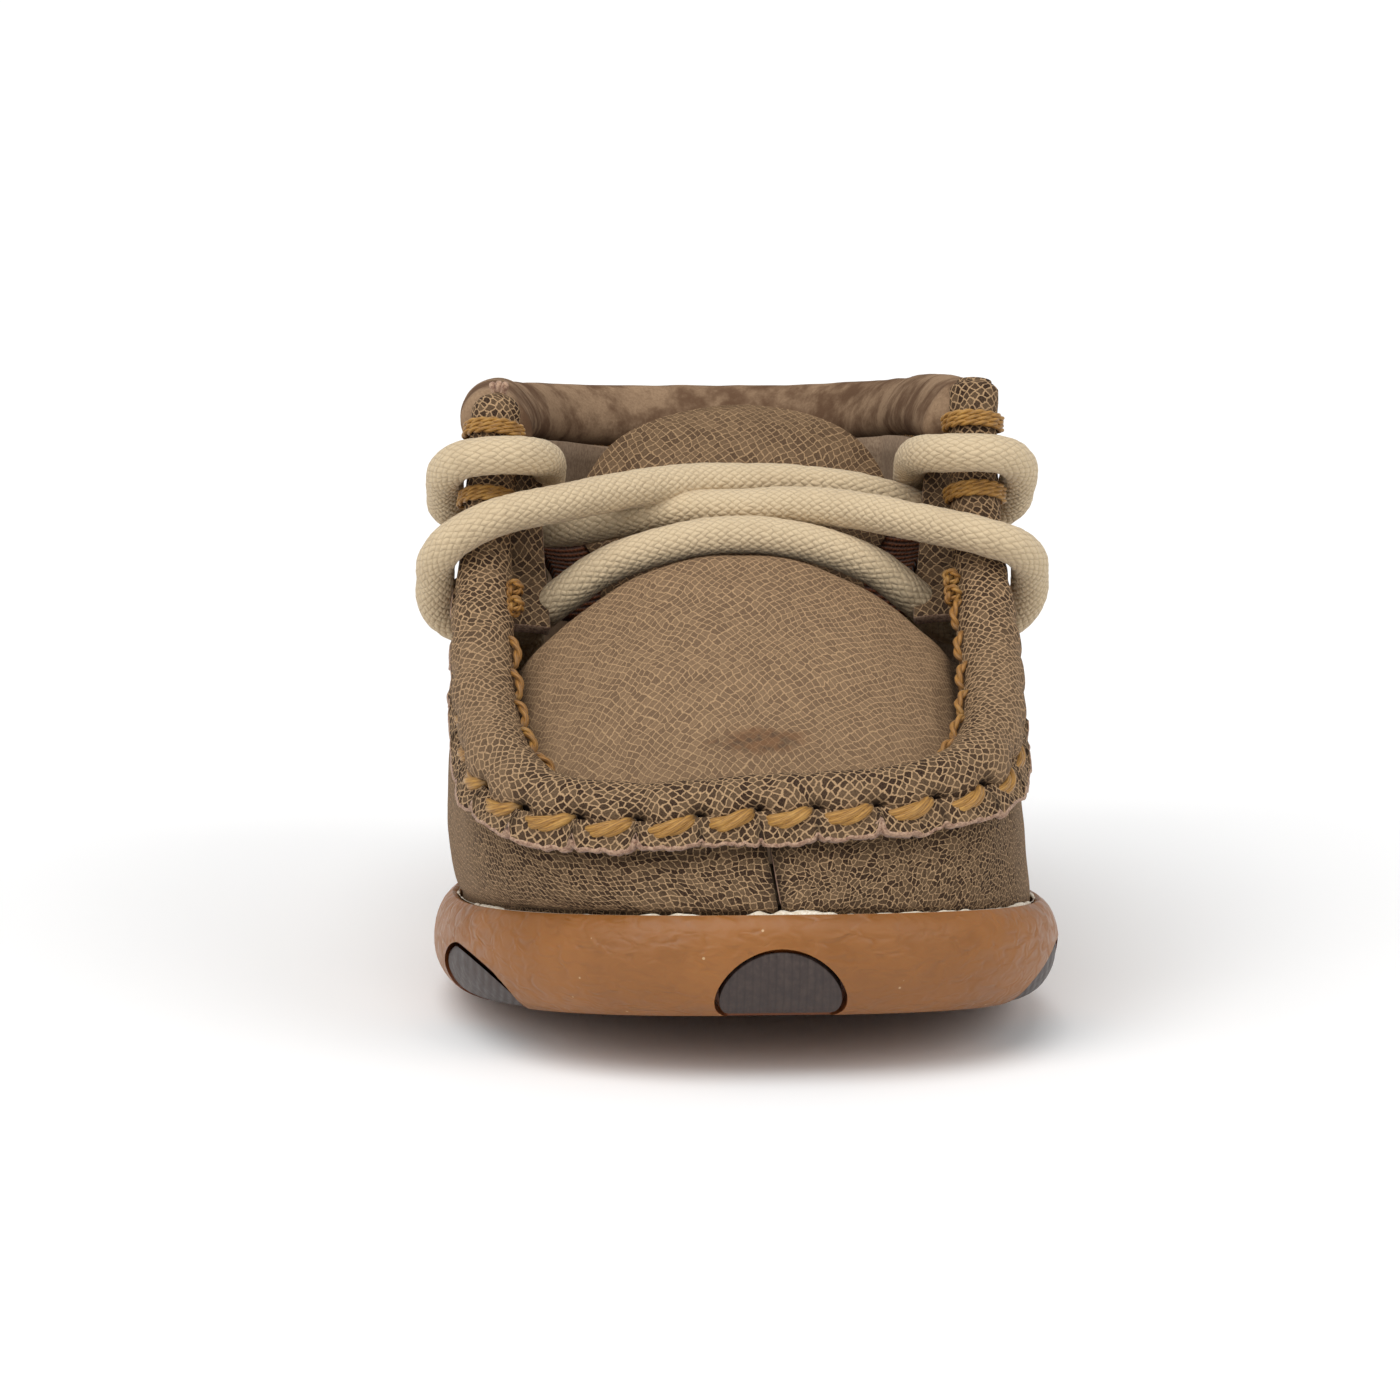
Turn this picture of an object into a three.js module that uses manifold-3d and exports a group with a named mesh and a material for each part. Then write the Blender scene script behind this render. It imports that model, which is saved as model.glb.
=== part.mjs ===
// An infant's lace-up driving moccasin, ankle height: a gum rubber cup sole with dark rubber pods, leather side
// walls, an apron framed by a stuffed rim roll that climbs to the collar, a tongue held by elastic gores, and a lace.
//
// Frame: millimetres, +Z up, the toe points along -Y and +X is the big-toe side. The origin is on the floor under
// the middle of the sole. The shoe is for the right foot.
import * as THREE from "three";
import { mergeVertices } from "three/addons/utils/BufferGeometryUtils.js";
import Module from "manifold-3d";

// ---- driving dimensions ------------------------------------------------------------------------------------
const SOLE_LENGTH = 126;
const BALL_WIDTH = 62.6;
const HEEL_WIDTH = 47;
const BALL_Y = -22; // where the sole is widest
const HEEL_Y = 38; // where the heel starts to round off
const TOE_SWING = 2; // how far the toe leans to the big-toe side
const ARCH_HOLLOW = 2.2; // how far the waist is cut in on the big-toe side
const TOE_SPRING = 6.9;
const HEEL_SPRING = 1;
const RIM_HEIGHT = 10; // outsole, underside to the top of the cup
const SOLE_FLOOR = 4.6; // outsole thickness under the foot
const HEEL_LIFT = 1.4; // extra floor thickness at the heel

const GAP = 0.35; // clearance between neighbouring pieces
const CUP_WALL = 2.6; // rubber outside the leather
const LEATHER = 1.4;
const LINING = 1.0;
const BOARD = 1.5;
const FOOTBED = 2.8;
const COUNTER = 1.2;
const COUNTER_HEIGHT = 20; // above the sole's rim
const COUNTER_FROM_Y = 32;
const WALL_BULGE = { left: 1.7, right: 0.1 }; // how far the side walls swell outwards

const ROLL_RADIUS = 3.15;
const COLUMN_RADIUS = 2.5; // the roll, drawn in at the top of the columns
const COLUMN_FROM_Z = 38;
const ROLL_SKIN = 1.0;
const COLLAR_RADIUS = 3.3;
const COLLAR_SKIN = 0.9;
const THREAD_RADIUS = 0.6;
const BAR_RADIUS = 0.55;
const LACE_DIAMETER = 3.9;
const AGLET_LENGTH = 12;
const AGLET_DIAMETER = 2.6;

// The middle of the rim roll on the big-toe side and on the little-toe side: x, y, z. It runs from the toe along
// the apron and up to the collar. Hand sewing leaves the little-toe side lower at the toe and the big-toe column
// a little further out and taller.
const ROLL_PATH = {
  right: [
    [0.8, -55.3, 26.2],
    [13, -54.2, 26.6],
    [20.6, -49.6, 28],
    [23.7, -43, 30.4],
    [24.9, -35, 33.8],
    [25.1, -27, 38.4],
    [24.9, -20.5, 43.6],
    [24.8, -16.3, 50.2],
    [24.8, -13.2, 57],
    [25.1, -11, 62.5],
  ],
  left: [
    [0.8, -55.3, 26.2],
    [-11.4, -54.2, 25.2],
    [-20, -50, 25.8],
    [-24.2, -43.4, 28.6],
    [-25.6, -35, 32.6],
    [-25.8, -27, 37.7],
    [-25.5, -20.5, 43.3],
    [-25, -16.3, 50],
    [-24.4, -13.2, 56.5],
    [-23.8, -11, 61.6],
  ],
};
// The middle of the padded collar on both sides, from behind the column round to the heel: x, y, z.
const COLLAR_PATH = {
  right: [
    [24.8, -5.6, 58.6],
    [24.6, 4, 58.2],
    [23.8, 18, 57],
    [22, 33, 55],
    [17.4, 46, 53.2],
    [9.4, 53.4, 52.2],
    [0, 55.8, 51.9],
  ],
  left: [
    [-24.4, -5.6, 58],
    [-24.2, 4, 57.8],
    [-23.6, 18, 56.8],
    [-22, 33, 54.9],
    [-17.4, 46, 53.2],
    [-9.4, 53.4, 52.2],
    [0, 55.8, 51.9],
  ],
};
// The middle of the apron's upper face from toe to throat: y, z.
const APRON_RIDGE = [
  [-52.2, 24.6],
  [-49.5, 27],
  [-45, 31],
  [-36, 37.4],
  [-27.5, 43],
  [-20.6, 46.3],
];
// The middle of the tongue's outer face from root to tip: y, z.
const TONGUE_RIDGE = [
  [-16.4, 41.8],
  [-11.6, 45.4],
  [-6.8, 50],
  [-3.2, 54.8],
  [-1.2, 59.2],
];
const TONGUE_HALF_WIDTHS = { root: 13.6, top: 16.3 };
const TONGUE_ARCH = 5;
const TONGUE_LEAN = 1.5; // its tip leans to the big-toe side
const APRON_REAR_SCOOP = 5.6; // how far the apron's rear corners lie ahead of its rear middle

// The lace, from the little-toe tail over its column, through both pairs of eyelets to the other tail: x, y, z.
const LACE_PATH = [
  [-9, 33.5, 13.2],
  [-12, 26.5, 12.9],
  [-15, 18, 12.7],
  [-17.6, 10, 13.2],
  [-19.6, 4.4, 17.6],
  [-20.6, 1.4, 27],
  [-20.8, 0.6, 36],
  [-20.2, -0.8, 43.5],
  [-19.2, -4.4, 50],
  [-18.8, -9.4, 53.2],
  [-19.2, -14.4, 55],
  [-21.2, -18.6, 56],
  [-24.6, -19.8, 56.2],
  [-28, -18, 55.4],
  [-29, -13.4, 52.6],
  [-29, -8.8, 49.6],
  [-25.6, -7, 47.8],
  [-21.4, -7.8, 47.2],
  [-17, -9.6, 47.4],
  [-11.6, -12, 48.6],
  [-5, -13.8, 49.8],
  [1, -15, 50.1],
  [7, -15.8, 50.4],
  [13, -17.6, 50],
  [18.6, -20.8, 49.2],
  [24.4, -23.4, 48.2],
  [28.4, -22.2, 46.4],
  [30.2, -18.6, 43.6],
  [30.2, -15.4, 40.6],
  [29, -13.2, 38.4],
  [25.8, -12.6, 37.4],
  [22.4, -13.6, 37.6],
  [19.2, -16.6, 40.4],
  [13.8, -18, 44.6],
  [7, -18.4, 47],
  [0.6, -18.5, 47.8],
  [-6, -18.4, 47],
  [-13, -18, 44.6],
  [-18.8, -16.6, 40.4],
  [-22.2, -13.6, 37.6],
  [-25.6, -12.6, 37.4],
  [-28.8, -13.2, 38.4],
  [-30.4, -15.4, 40.8],
  [-30.2, -18.6, 44.4],
  [-28.4, -22, 48],
  [-24.4, -22.6, 50.2],
  [-18.4, -20, 51.2],
  [-11.6, -16, 52],
  [-5, -12.6, 52.4],
  [1, -11.2, 52.3],
  [7.4, -10.8, 52],
  [13, -10.6, 51.2],
  [17.4, -10.2, 50],
  [21.4, -8.4, 48.4],
  [25.6, -7, 47.8],
  [29, -8.8, 49.6],
  [29.2, -13.4, 52.6],
  [28.2, -18, 55.4],
  [24.8, -19.8, 56.2],
  [21.4, -18.6, 56],
  [19.4, -14.4, 55.4],
  [19, -9.4, 54],
  [19.4, -4.4, 50.6],
  [20.4, -0.8, 43.5],
  [21, 0.6, 36],
  [20.8, 1.4, 27],
  [19.8, 4.4, 17.6],
  [17.8, 10, 13.2],
  [15.2, 18, 12.7],
  [12.2, 26.5, 12.9],
  [9.4, 33.5, 13.2],
];

const SIDES = { left: -1, right: 1 };
const COLOURS = {
  gum: { color: 0xa8693a, roughness: 0.55 },
  pod: { color: 0x3b312c, roughness: 0.6 },
  leather: { color: 0x8b735c, roughness: 0.75 },
  suede: { color: 0xa08870, roughness: 0.9 },
  lining: { color: 0xb39a80, roughness: 0.9 },
  board: { color: 0xb59b78, roughness: 0.9 },
  foam: { color: 0xe0d8c4, roughness: 0.95 },
  thread: { color: 0xc08a32, roughness: 0.6 },
  elastic: { color: 0x5a2f1c, roughness: 0.8 },
  lace: { color: 0xc9b899, roughness: 0.85 },
  aglet: { color: 0xd9cfb4, roughness: 0.35 },
};

// ---- small helpers ------------------------------------------------------------------------------------------
const wasm = await Module();
wasm.setup();
const group = new THREE.Group();
const vec = (x, y, z) => new THREE.Vector3(x, y, z);
const lerp = THREE.MathUtils.lerp;
const smooth = (x, from, to) => THREE.MathUtils.smoothstep(x, from, to);

function add(name, geometry, finish) {
  geometry.computeVertexNormals();
  const mesh = new THREE.Mesh(geometry, new THREE.MeshStandardMaterial({ metalness: 0, ...COLOURS[finish] }));
  mesh.name = name;
  group.add(mesh);
  return mesh;
}

function toSolid(geometry) {
  const bare = geometry.index ? geometry.toNonIndexed() : geometry.clone();
  bare.deleteAttribute("normal");
  bare.deleteAttribute("uv");
  const merged = mergeVertices(bare, 1e-4);
  const vertProperties = merged.attributes.position.array;
  const triVerts = new Uint32Array(merged.index.array);
  return new wasm.Manifold(new wasm.Mesh({ numProp: 3, vertProperties, triVerts }));
}

function toGeometry(solid) {
  const mesh = solid.getMesh();
  const geometry = new THREE.BufferGeometry();
  geometry.setAttribute("position", new THREE.BufferAttribute(mesh.vertProperties, 3));
  geometry.setIndex(new THREE.BufferAttribute(mesh.triVerts, 1));
  return geometry;
}

// A solid less some tools. Crumbs cut loose from it are dropped.
function cut(solid, ...tools) {
  const pieces = tools.reduce((left, tool) => left.subtract(tool), solid).decompose();
  return pieces.reduce((best, piece) => (piece.volume() > best.volume() ? piece : best));
}

// A closed skin over rings of equal length. "round" joins the last ring to the first, "flat" caps the two end
// rings as polygons, and "strips" caps them with strips from side to side, for rings that go round the sole.
function loft(rings, ends) {
  const count = rings[0].length;
  const flat = rings.flat();
  const faces = [];
  const steps = ends === "round" ? rings.length : rings.length - 1;
  for (let r = 0; r < steps; r++) {
    const next = (r + 1) % rings.length;
    for (let k = 0; k < count; k++) {
      const [a, b] = [r * count + k, r * count + ((k + 1) % count)];
      const [c, d] = [next * count + ((k + 1) % count), next * count + k];
      faces.push(a, b, c, a, c, d);
    }
  }
  if (ends !== "round") {
    const cap = ends === "flat" ? polygonCap : stripCap;
    faces.push(...cap(rings[0]).reverse());
    faces.push(...cap(rings.at(-1)).map((k) => k + (rings.length - 1) * count));
  }
  const geometry = new THREE.BufferGeometry();
  geometry.setAttribute("position", new THREE.Float32BufferAttribute(flat.flatMap((p) => p.toArray()), 3));
  geometry.setIndex(faces);
  if (signedVolume(flat, faces) < 0) geometry.setIndex(faces.reverse());
  return geometry;
}

function signedVolume(points, faces) {
  let six = 0;
  for (let k = 0; k < faces.length; k += 3) {
    const [a, b, c] = [points[faces[k]], points[faces[k + 1]], points[faces[k + 2]]];
    six += a.dot(new THREE.Vector3().crossVectors(b, c));
  }
  return six;
}

function polygonCap(ring) {
  const centre = ring.reduce((sum, p) => sum.add(p), vec(0, 0, 0)).divideScalar(ring.length);
  const normal = vec(0, 0, 0);
  ring.forEach((p, k) => {
    const next = ring[(k + 1) % ring.length];
    normal.add(new THREE.Vector3().crossVectors(p.clone().sub(centre), next.clone().sub(centre)));
  });
  normal.normalize();
  const across = Math.abs(normal.x) < 0.9 ? vec(1, 0, 0) : vec(0, 1, 0);
  across.addScaledVector(normal, -across.dot(normal)).normalize();
  const up = new THREE.Vector3().crossVectors(normal, across);
  const outline = ring.map((p) => new THREE.Vector2(p.dot(across), p.dot(up)));
  return THREE.ShapeUtils.triangulateShape(outline, []).flat();
}

function stripCap(ring) {
  const half = ring.length / 2;
  const faces = [0, 1, ring.length - 1];
  for (let k = 1; k < half - 1; k++) {
    const [a, b, c, d] = [k, k + 1, ring.length - k - 1, ring.length - k];
    faces.push(a, b, c, a, c, d);
  }
  return [...faces, half - 1, half, half + 1];
}

// ---- the sole's outline and heights ---------------------------------------------------------------------------
const TOE_Y = -SOLE_LENGTH / 2;
const BACK_Y = SOLE_LENGTH / 2;
const TOE_SQUARENESS = 2.5; // 2 is an ellipse, more is squarer
const HEEL_SQUARENESS = 2.3;
const SPRING_FROM_Y = -4;
const SPRING_CURVE = 1.3; // 1 is straight from the tread to the toe, 2 turns up late
const HEEL_SPRING_FROM_Y = 52;
const ARCH_Y = 8;

const middleX = (y) => TOE_SWING * smooth(-y, 2, -TOE_Y);

function roundedEnd(y, from, to, squareness) {
  const share = Math.min(1, Math.abs((y - from) / (to - from)));
  return Math.pow(Math.max(0, 1 - Math.pow(share, squareness)), 1 / squareness);
}

function soleHalfWidth(y, side) {
  if (y < BALL_Y) return (BALL_WIDTH / 2) * roundedEnd(y, BALL_Y, TOE_Y, TOE_SQUARENESS);
  const width = lerp(BALL_WIDTH, HEEL_WIDTH, smooth(y, BALL_Y, HEEL_Y)) / 2;
  const hollow = side > 0 ? ARCH_HOLLOW : ARCH_HOLLOW / 4;
  const arch = hollow * smooth(y, BALL_Y, ARCH_Y) * (1 - smooth(y, ARCH_Y, HEEL_Y));
  return y < HEEL_Y ? width - arch : (width - arch) * roundedEnd(y, HEEL_Y, BACK_Y, HEEL_SQUARENESS);
}

function soleUnderside(y) {
  const toe = Math.max(0, (SPRING_FROM_Y - y) / (SPRING_FROM_Y - TOE_Y));
  const heel = Math.max(0, (y - HEEL_SPRING_FROM_Y) / (BACK_Y - HEEL_SPRING_FROM_Y));
  return TOE_SPRING * Math.pow(toe, SPRING_CURVE) + HEEL_SPRING * heel * heel;
}

const soleFloor = (y) => soleUnderside(y) + SOLE_FLOOR + HEEL_LIFT * smooth(y, 0, BACK_Y);

// Stations down the shoe, close together at the toe, at the columns and at the heel.
const FINE_FROM_Y = -22;
const FINE_TO_Y = -6;
const STATION_YS = [
  ...Array.from({ length: 10 }, (_, k) => lerp(TOE_Y, FINE_FROM_Y, Math.pow(k / 10, 2.4))),
  ...Array.from({ length: 6 }, (_, k) => lerp(FINE_FROM_Y, FINE_TO_Y, k / 6)),
  ...Array.from({ length: 11 }, (_, k) => lerp(FINE_TO_Y, BACK_Y, 1 - Math.pow(1 - k / 10, 2.4))),
];

// Where a station meets the sole's outline on one side, and the outline's outward direction there.
function outlineAt(y, side) {
  const point = vec(middleX(y) + side * soleHalfWidth(y, side), y, 0);
  if (y <= TOE_Y + 1e-6) return { point, out: vec(0, -1, 0) };
  if (y >= BACK_Y - 1e-6) return { point, out: vec(0, 1, 0) };
  const step = 0.02;
  const [low, high] = [Math.max(TOE_Y, y - step), Math.min(BACK_Y, y + step)];
  const slope = (soleHalfWidth(high, side) - soleHalfWidth(low, side)) / (high - low);
  return { point, out: vec(side, -slope, 0).normalize() };
}

const STATIONS = {
  left: STATION_YS.map((y) => outlineAt(y, SIDES.left)),
  right: STATION_YS.map((y) => outlineAt(y, SIDES.right)),
};
// All the way round: the big-toe side from toe to heel, then back up the little-toe side.
const LOOP = [...STATIONS.right, ...STATIONS.left.slice(1, -1).reverse()];

// A loop round the sole at an inset from its outline, at a height that depends on y.
function soleLoop(inset, heightAt) {
  return LOOP.map(({ point, out }) => {
    const p = point.clone().addScaledVector(out, -inset);
    return p.setZ(heightAt(p.y));
  });
}

// ---- outsole and pods -----------------------------------------------------------------------------------------
// The outer skin of the sole from the underside to the rim: inset from the outline, and height above the underside.
const SOLE_PROFILE = [
  [9, 0],
  [4.2, 0],
  [1.7, 1.1],
  [0.4, 3],
  [0, 5],
  [0.3, 7.6],
  [1.1, RIM_HEIGHT - 0.7],
  [1.9, RIM_HEIGHT],
];

function outsoleSkin(shrink) {
  return SOLE_PROFILE.map(([inset, height]) => {
    const raised = height === 0 ? shrink : height;
    return soleLoop(inset + shrink, (y) => soleUnderside(y) + raised);
  });
}

// An oval plug through the sole's lower edge, driven in and up at a slope. Its middle is at y on the given side.
function podPlug({ y, side, long, tall, slope, depth }) {
  const { point, out } = outlineAt(y, side);
  const oval = new THREE.Shape().absellipse(0, 0, long, tall, 0, 2 * Math.PI, false, 0);
  const reach = 8; // far enough outside to clear the skin
  const plug = new THREE.ExtrudeGeometry(oval, { depth: depth + reach, bevelEnabled: false, curveSegments: 14 });
  const along = new THREE.Vector3().crossVectors(vec(0, 0, 1), out);
  const angle = THREE.MathUtils.degToRad(slope);
  const inwards = out.clone().multiplyScalar(-Math.cos(angle)).add(vec(0, 0, Math.sin(angle)));
  const up = new THREE.Vector3().crossVectors(inwards, along);
  const edge = point.clone().addScaledVector(out, -1).setZ(soleUnderside(point.y) + 1);
  plug.applyMatrix4(new THREE.Matrix4().makeBasis(along, up, inwards));
  plug.translate(...edge.addScaledVector(inwards, -reach).toArray());
  return toSolid(plug);
}

// A round plug up into the flat underside.
function padPlug({ y, radius, depth }) {
  const reach = 2;
  const plug = new THREE.CylinderGeometry(radius, radius, depth + reach, 24);
  plug.rotateX(Math.PI / 2);
  plug.translate(middleX(y), y, soleUnderside(y) + (depth - reach) / 2);
  return toSolid(plug);
}

const POD_MARGIN = 0.5; // groove round each pod
const POD_SINK = 0.3; // how far a pod lies below the gum rubber
const PODS = {
  toe_pod: { y: TOE_Y, side: SIDES.right, long: 5.9, tall: 4.9, slope: 30, depth: 2.2 },
  forefoot_pod_left: { y: -40, side: SIDES.left, long: 9, tall: 3.9, slope: 45, depth: 2.6 },
  forefoot_pod_right: { y: -40, side: SIDES.right, long: 9, tall: 3.9, slope: 45, depth: 2.6 },
  heel_pod_left: { y: 34, side: SIDES.left, long: 8, tall: 3.9, slope: 45, depth: 2.6 },
  heel_pod_right: { y: 34, side: SIDES.right, long: 8, tall: 3.9, slope: 45, depth: 2.6 },
  heel_pod_back: { y: BACK_Y, side: SIDES.right, long: 6.6, tall: 4, slope: 45, depth: 2.6 },
};
const PADS = {
  tread_pad_front: { y: -14, radius: 7.5 },
  tread_pad_rear: { y: 27, radius: 7.5 },
};
const PAD_DEPTH = 1.8;

function addOutsole() {
  const cupWall = soleLoop(CUP_WALL, (y) => soleUnderside(y) + RIM_HEIGHT - 0.1);
  const cupFoot = soleLoop(CUP_WALL, soleFloor);
  const cupFloor = soleLoop(9, soleFloor);
  const whole = toSolid(loft([...outsoleSkin(0), cupWall, cupFoot, cupFloor], "strips"));
  const sunk = toSolid(loft(outsoleSkin(POD_SINK), "strips"));
  const recesses = [];
  for (const [name, pod] of Object.entries(PODS)) {
    add(name, toGeometry(podPlug(pod).intersect(sunk)), "pod");
    const wider = { long: pod.long + POD_MARGIN, tall: pod.tall + POD_MARGIN, depth: pod.depth + GAP };
    recesses.push(podPlug({ ...pod, ...wider }));
  }
  for (const [name, pad] of Object.entries(PADS)) {
    add(name, toGeometry(padPlug({ ...pad, depth: PAD_DEPTH }).intersect(sunk)), "pod");
    recesses.push(padPlug({ y: pad.y, radius: pad.radius + POD_MARGIN, depth: PAD_DEPTH + GAP }));
  }
  add("outsole", toGeometry(cut(whole, ...recesses)), "gum");
}

// ---- insole board and footbed -----------------------------------------------------------------------------------
const WALL_INSET = CUP_WALL + GAP; // outer face of the leather at the sole
const LINING_DEPTH = LEATHER + 0.75; // outer face of the lining behind the leather's outer face
const BOARD_INSET = WALL_INSET + LEATHER + GAP;
const BOARD_TOP = GAP + BOARD; // above the sole's floor
const FOOTBED_INSET = WALL_INSET + LINING_DEPTH + LINING + GAP;
const FOOTBED_TOP = BOARD_TOP + GAP + FOOTBED;
const PLATE_CORE = 6; // inset of the innermost ring of a plate, from its own edge

function plate(inset, low, high, heelRoom = 0) {
  const at = (lift) => (y) => soleFloor(y) + lift;
  const edge = (lift, extra) =>
    soleLoop(inset + extra, at(lift)).map((p, k) => {
      const room = heelRoom * smooth(LOOP[k].point.y, COUNTER_FROM_Y - 8, COUNTER_FROM_Y);
      return p.addScaledVector(LOOP[k].out, -room);
    });
  return loft([edge(low, PLATE_CORE), edge(low, 0), edge(high, 0), edge(high, PLATE_CORE)], "strips");
}

function addInsoles() {
  add("insole_board", plate(BOARD_INSET, GAP, BOARD_TOP), "board");
  add("footbed", plate(FOOTBED_INSET, BOARD_TOP + GAP, FOOTBED_TOP, COUNTER + 2 * GAP), "lining");
}

// ---- curves of the upper -----------------------------------------------------------------------------------------
// Two half paths that share their first point, joined into one curve: little-toe end first.
function wholePath(left, right) {
  const whole = [...left.slice(1).reverse(), ...right].map((p) => vec(...p));
  return new THREE.CatmullRomCurve3(whole, false, "centripetal");
}

const rollCurve = wholePath(ROLL_PATH.left, ROLL_PATH.right);
const collarCurve = wholePath([...COLLAR_PATH.left].reverse(), [...COLLAR_PATH.right].reverse());
const apronRidge = new THREE.CatmullRomCurve3(APRON_RIDGE.map(([y, z]) => vec(0, y, z)));
const tongueRidge = new THREE.CatmullRomCurve3(TONGUE_RIDGE.map(([y, z]) => vec(0, y, z)));

// The roll's radius at a point of its middle line.
const rollRadius = ({ z }) => lerp(ROLL_RADIUS, COLUMN_RADIUS, smooth(z, COLUMN_FROM_Z, COLUMN_FROM_Z + 12));

// The frame of a swept path at u: point, direction, outwards (level) and down (square to both).
function frameOn(curve, u) {
  const point = curve.getPointAt(u);
  const along = curve.getTangentAt(u);
  const level = new THREE.Vector3().crossVectors(along, vec(0, 0, 1)).normalize();
  const down = new THREE.Vector3().crossVectors(along, level).normalize();
  return { point, along, out: level, down };
}

const COLLAR_OVERHANG = 1.6;
const TOE_ROLL_Y = ROLL_PATH.right[0][1];
const TOE_BULGE = 0.8;
const COLUMN_TOP_Y = ROLL_PATH.right.at(-1)[1];
const COLLAR_FRONT_Y = COLLAR_PATH.right[0][1];
const COLLAR_BACK_Y = COLLAR_PATH.right.at(-1)[1];

// Where on a joined path its two halves meet, at the given point: the roll's toe, the collar's heel.
function middleOf(curve, joint) {
  const off = (u) => curve.getPointAt(u).distanceTo(vec(...joint));
  return Array.from({ length: 1001 }, (_, k) => k / 1000).reduce((best, u) => (off(u) < off(best) ? u : best));
}

const MIDDLES = new Map([
  [rollCurve, middleOf(rollCurve, ROLL_PATH.right[0])],
  [collarCurve, middleOf(collarCurve, COLLAR_PATH.right.at(-1))],
]);

// The place on a half path where its y has a given value, with the path's square-down direction.
function onPathAtY(curve, side, y) {
  let [low, high] = [MIDDLES.get(curve), side > 0 ? 1 : 0];
  const rising = curve.getPointAt(high).y > curve.getPointAt(low).y;
  for (let k = 0; k < 30; k++) {
    const mid = (low + high) / 2;
    if (curve.getPointAt(mid).y < y === rising) low = mid;
    else high = mid;
  }
  return frameOn(curve, (low + high) / 2);
}

// The upper edge of the wall at a station: under the rim roll ahead of the collar, under the collar behind it.
function wallTop({ point }, side) {
  const share = (point.y - TOE_Y) / (COLUMN_TOP_Y - TOE_Y);
  if (share <= 1) {
    const y = lerp(TOE_ROLL_Y, COLUMN_TOP_Y, Math.max(0, share));
    const { point: roll, out: away, down } = onPathAtY(rollCurve, side, y);
    const reach = rollRadius(roll);
    return roll.addScaledVector(away, reach - ROLL_SKIN).addScaledVector(down, reach + GAP);
  }
  const back = (point.y - COLUMN_TOP_Y) / (BACK_Y - COLUMN_TOP_Y);
  const y = lerp(COLLAR_FRONT_Y, COLLAR_BACK_Y, back);
  const { point: collar, out: away } = onPathAtY(collarCurve, side, y);
  const edge = collar.addScaledVector(away, COLLAR_OVERHANG);
  return edge.setZ(edge.z - COLLAR_RADIUS - 2 * GAP);
}

// A point of the upper. A share of 0 is at the sole's rim and 1 at the wall's top, and IN_CUP is the foot of the
// wall, down inside the sole. Depth is inwards from the outer face.
const IN_CUP = -1;

function wallPoint(station, side, share, { depth, fromFloor = GAP, belowTop = 0 }) {
  const { point, out } = station;
  const foot = point.clone().addScaledVector(out, -WALL_INSET);
  const rim = foot.clone().setZ(soleUnderside(foot.y) + RIM_HEIGHT + 0.3);
  if (share === IN_CUP) return foot.setZ(soleFloor(foot.y) + fromFloor).addScaledVector(out, -depth);
  const top = wallTop(station, side);
  top.z -= belowTop;
  const bulge = side > 0 ? WALL_BULGE.right : WALL_BULGE.left;
  const swell = lerp(TOE_BULGE, bulge, Math.abs(out.x)) * Math.sin(Math.PI * Math.pow(share, 0.6));
  return rim.lerp(top, share).addScaledVector(out, swell - depth);
}

const WALL_SHARES = [IN_CUP, 0, 0.14, 0.36, 0.66, 1];

function shellSection(station, side, { depth, thickness, shares = WALL_SHARES, ...room }) {
  const outer = shares.map((share) => wallPoint(station, side, share, { depth, ...room }));
  const inner = shares.map((share) => wallPoint(station, side, share, { depth: depth + thickness, ...room }));
  return [...outer, ...inner.reverse()];
}

// The lace and a wider copy that cuts its way through whatever it is threaded through.
const rollMiddle = rollCurve.getSpacedPoints(160);

// A point of the lace, moved out to where the lace rests on the roll if it would be inside it.
function offRoll(p) {
  const nearest = rollMiddle.reduce((best, q) => (q.distanceTo(p) < best.distanceTo(p) ? q : best));
  const away = p.clone().sub(nearest);
  const least = rollRadius(nearest) + LACE_DIAMETER / 2 + GAP;
  return away.length() < least ? away.setLength(least).add(nearest) : p;
}

const laceRoute = new THREE.CatmullRomCurve3(LACE_PATH.map((p) => vec(...p)), false, "centripetal");
const laceCurve = new THREE.CatmullRomCurve3(laceRoute.getSpacedPoints(150).map(offRoll));

function laceTube(radius) {
  const sides = 8;
  const section = new THREE.Shape(
    Array.from({ length: sides }, (_, k) => {
      const angle = (2 * Math.PI * (k + 0.5)) / sides;
      return new THREE.Vector2(radius * Math.cos(angle), radius * Math.sin(angle));
    }),
  );
  return new THREE.ExtrudeGeometry(section, { steps: 110, extrudePath: laceCurve });
}

const LACE_CLEARANCE = 0.4;
const laceWay = toSolid(laceTube(LACE_DIAMETER / 2 + LACE_CLEARANCE));

const ROLL_STEPS = 40;
const COLLAR_STEPS = 30;
// Room for the roll and the collar, cut out of the edges sewn under them.
const rimWays = [
  toSolid(tube(rollCurve, (p) => rollRadius(p) + 0.8 * GAP, ROLL_STEPS, 12)),
  toSolid(tube(collarCurve, () => COLLAR_RADIUS + 0.8 * GAP, COLLAR_STEPS, 12)),
  ...[0, 1].map((u) => {
    const end = collarCurve.getPointAt(u);
    return toSolid(new THREE.SphereGeometry(COLLAR_RADIUS + GAP, 16, 12).translate(...end.toArray()));
  }),
];

const SEAM_GAP = 0.2; // half the gap between the two walls at the toe and heel seams

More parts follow.
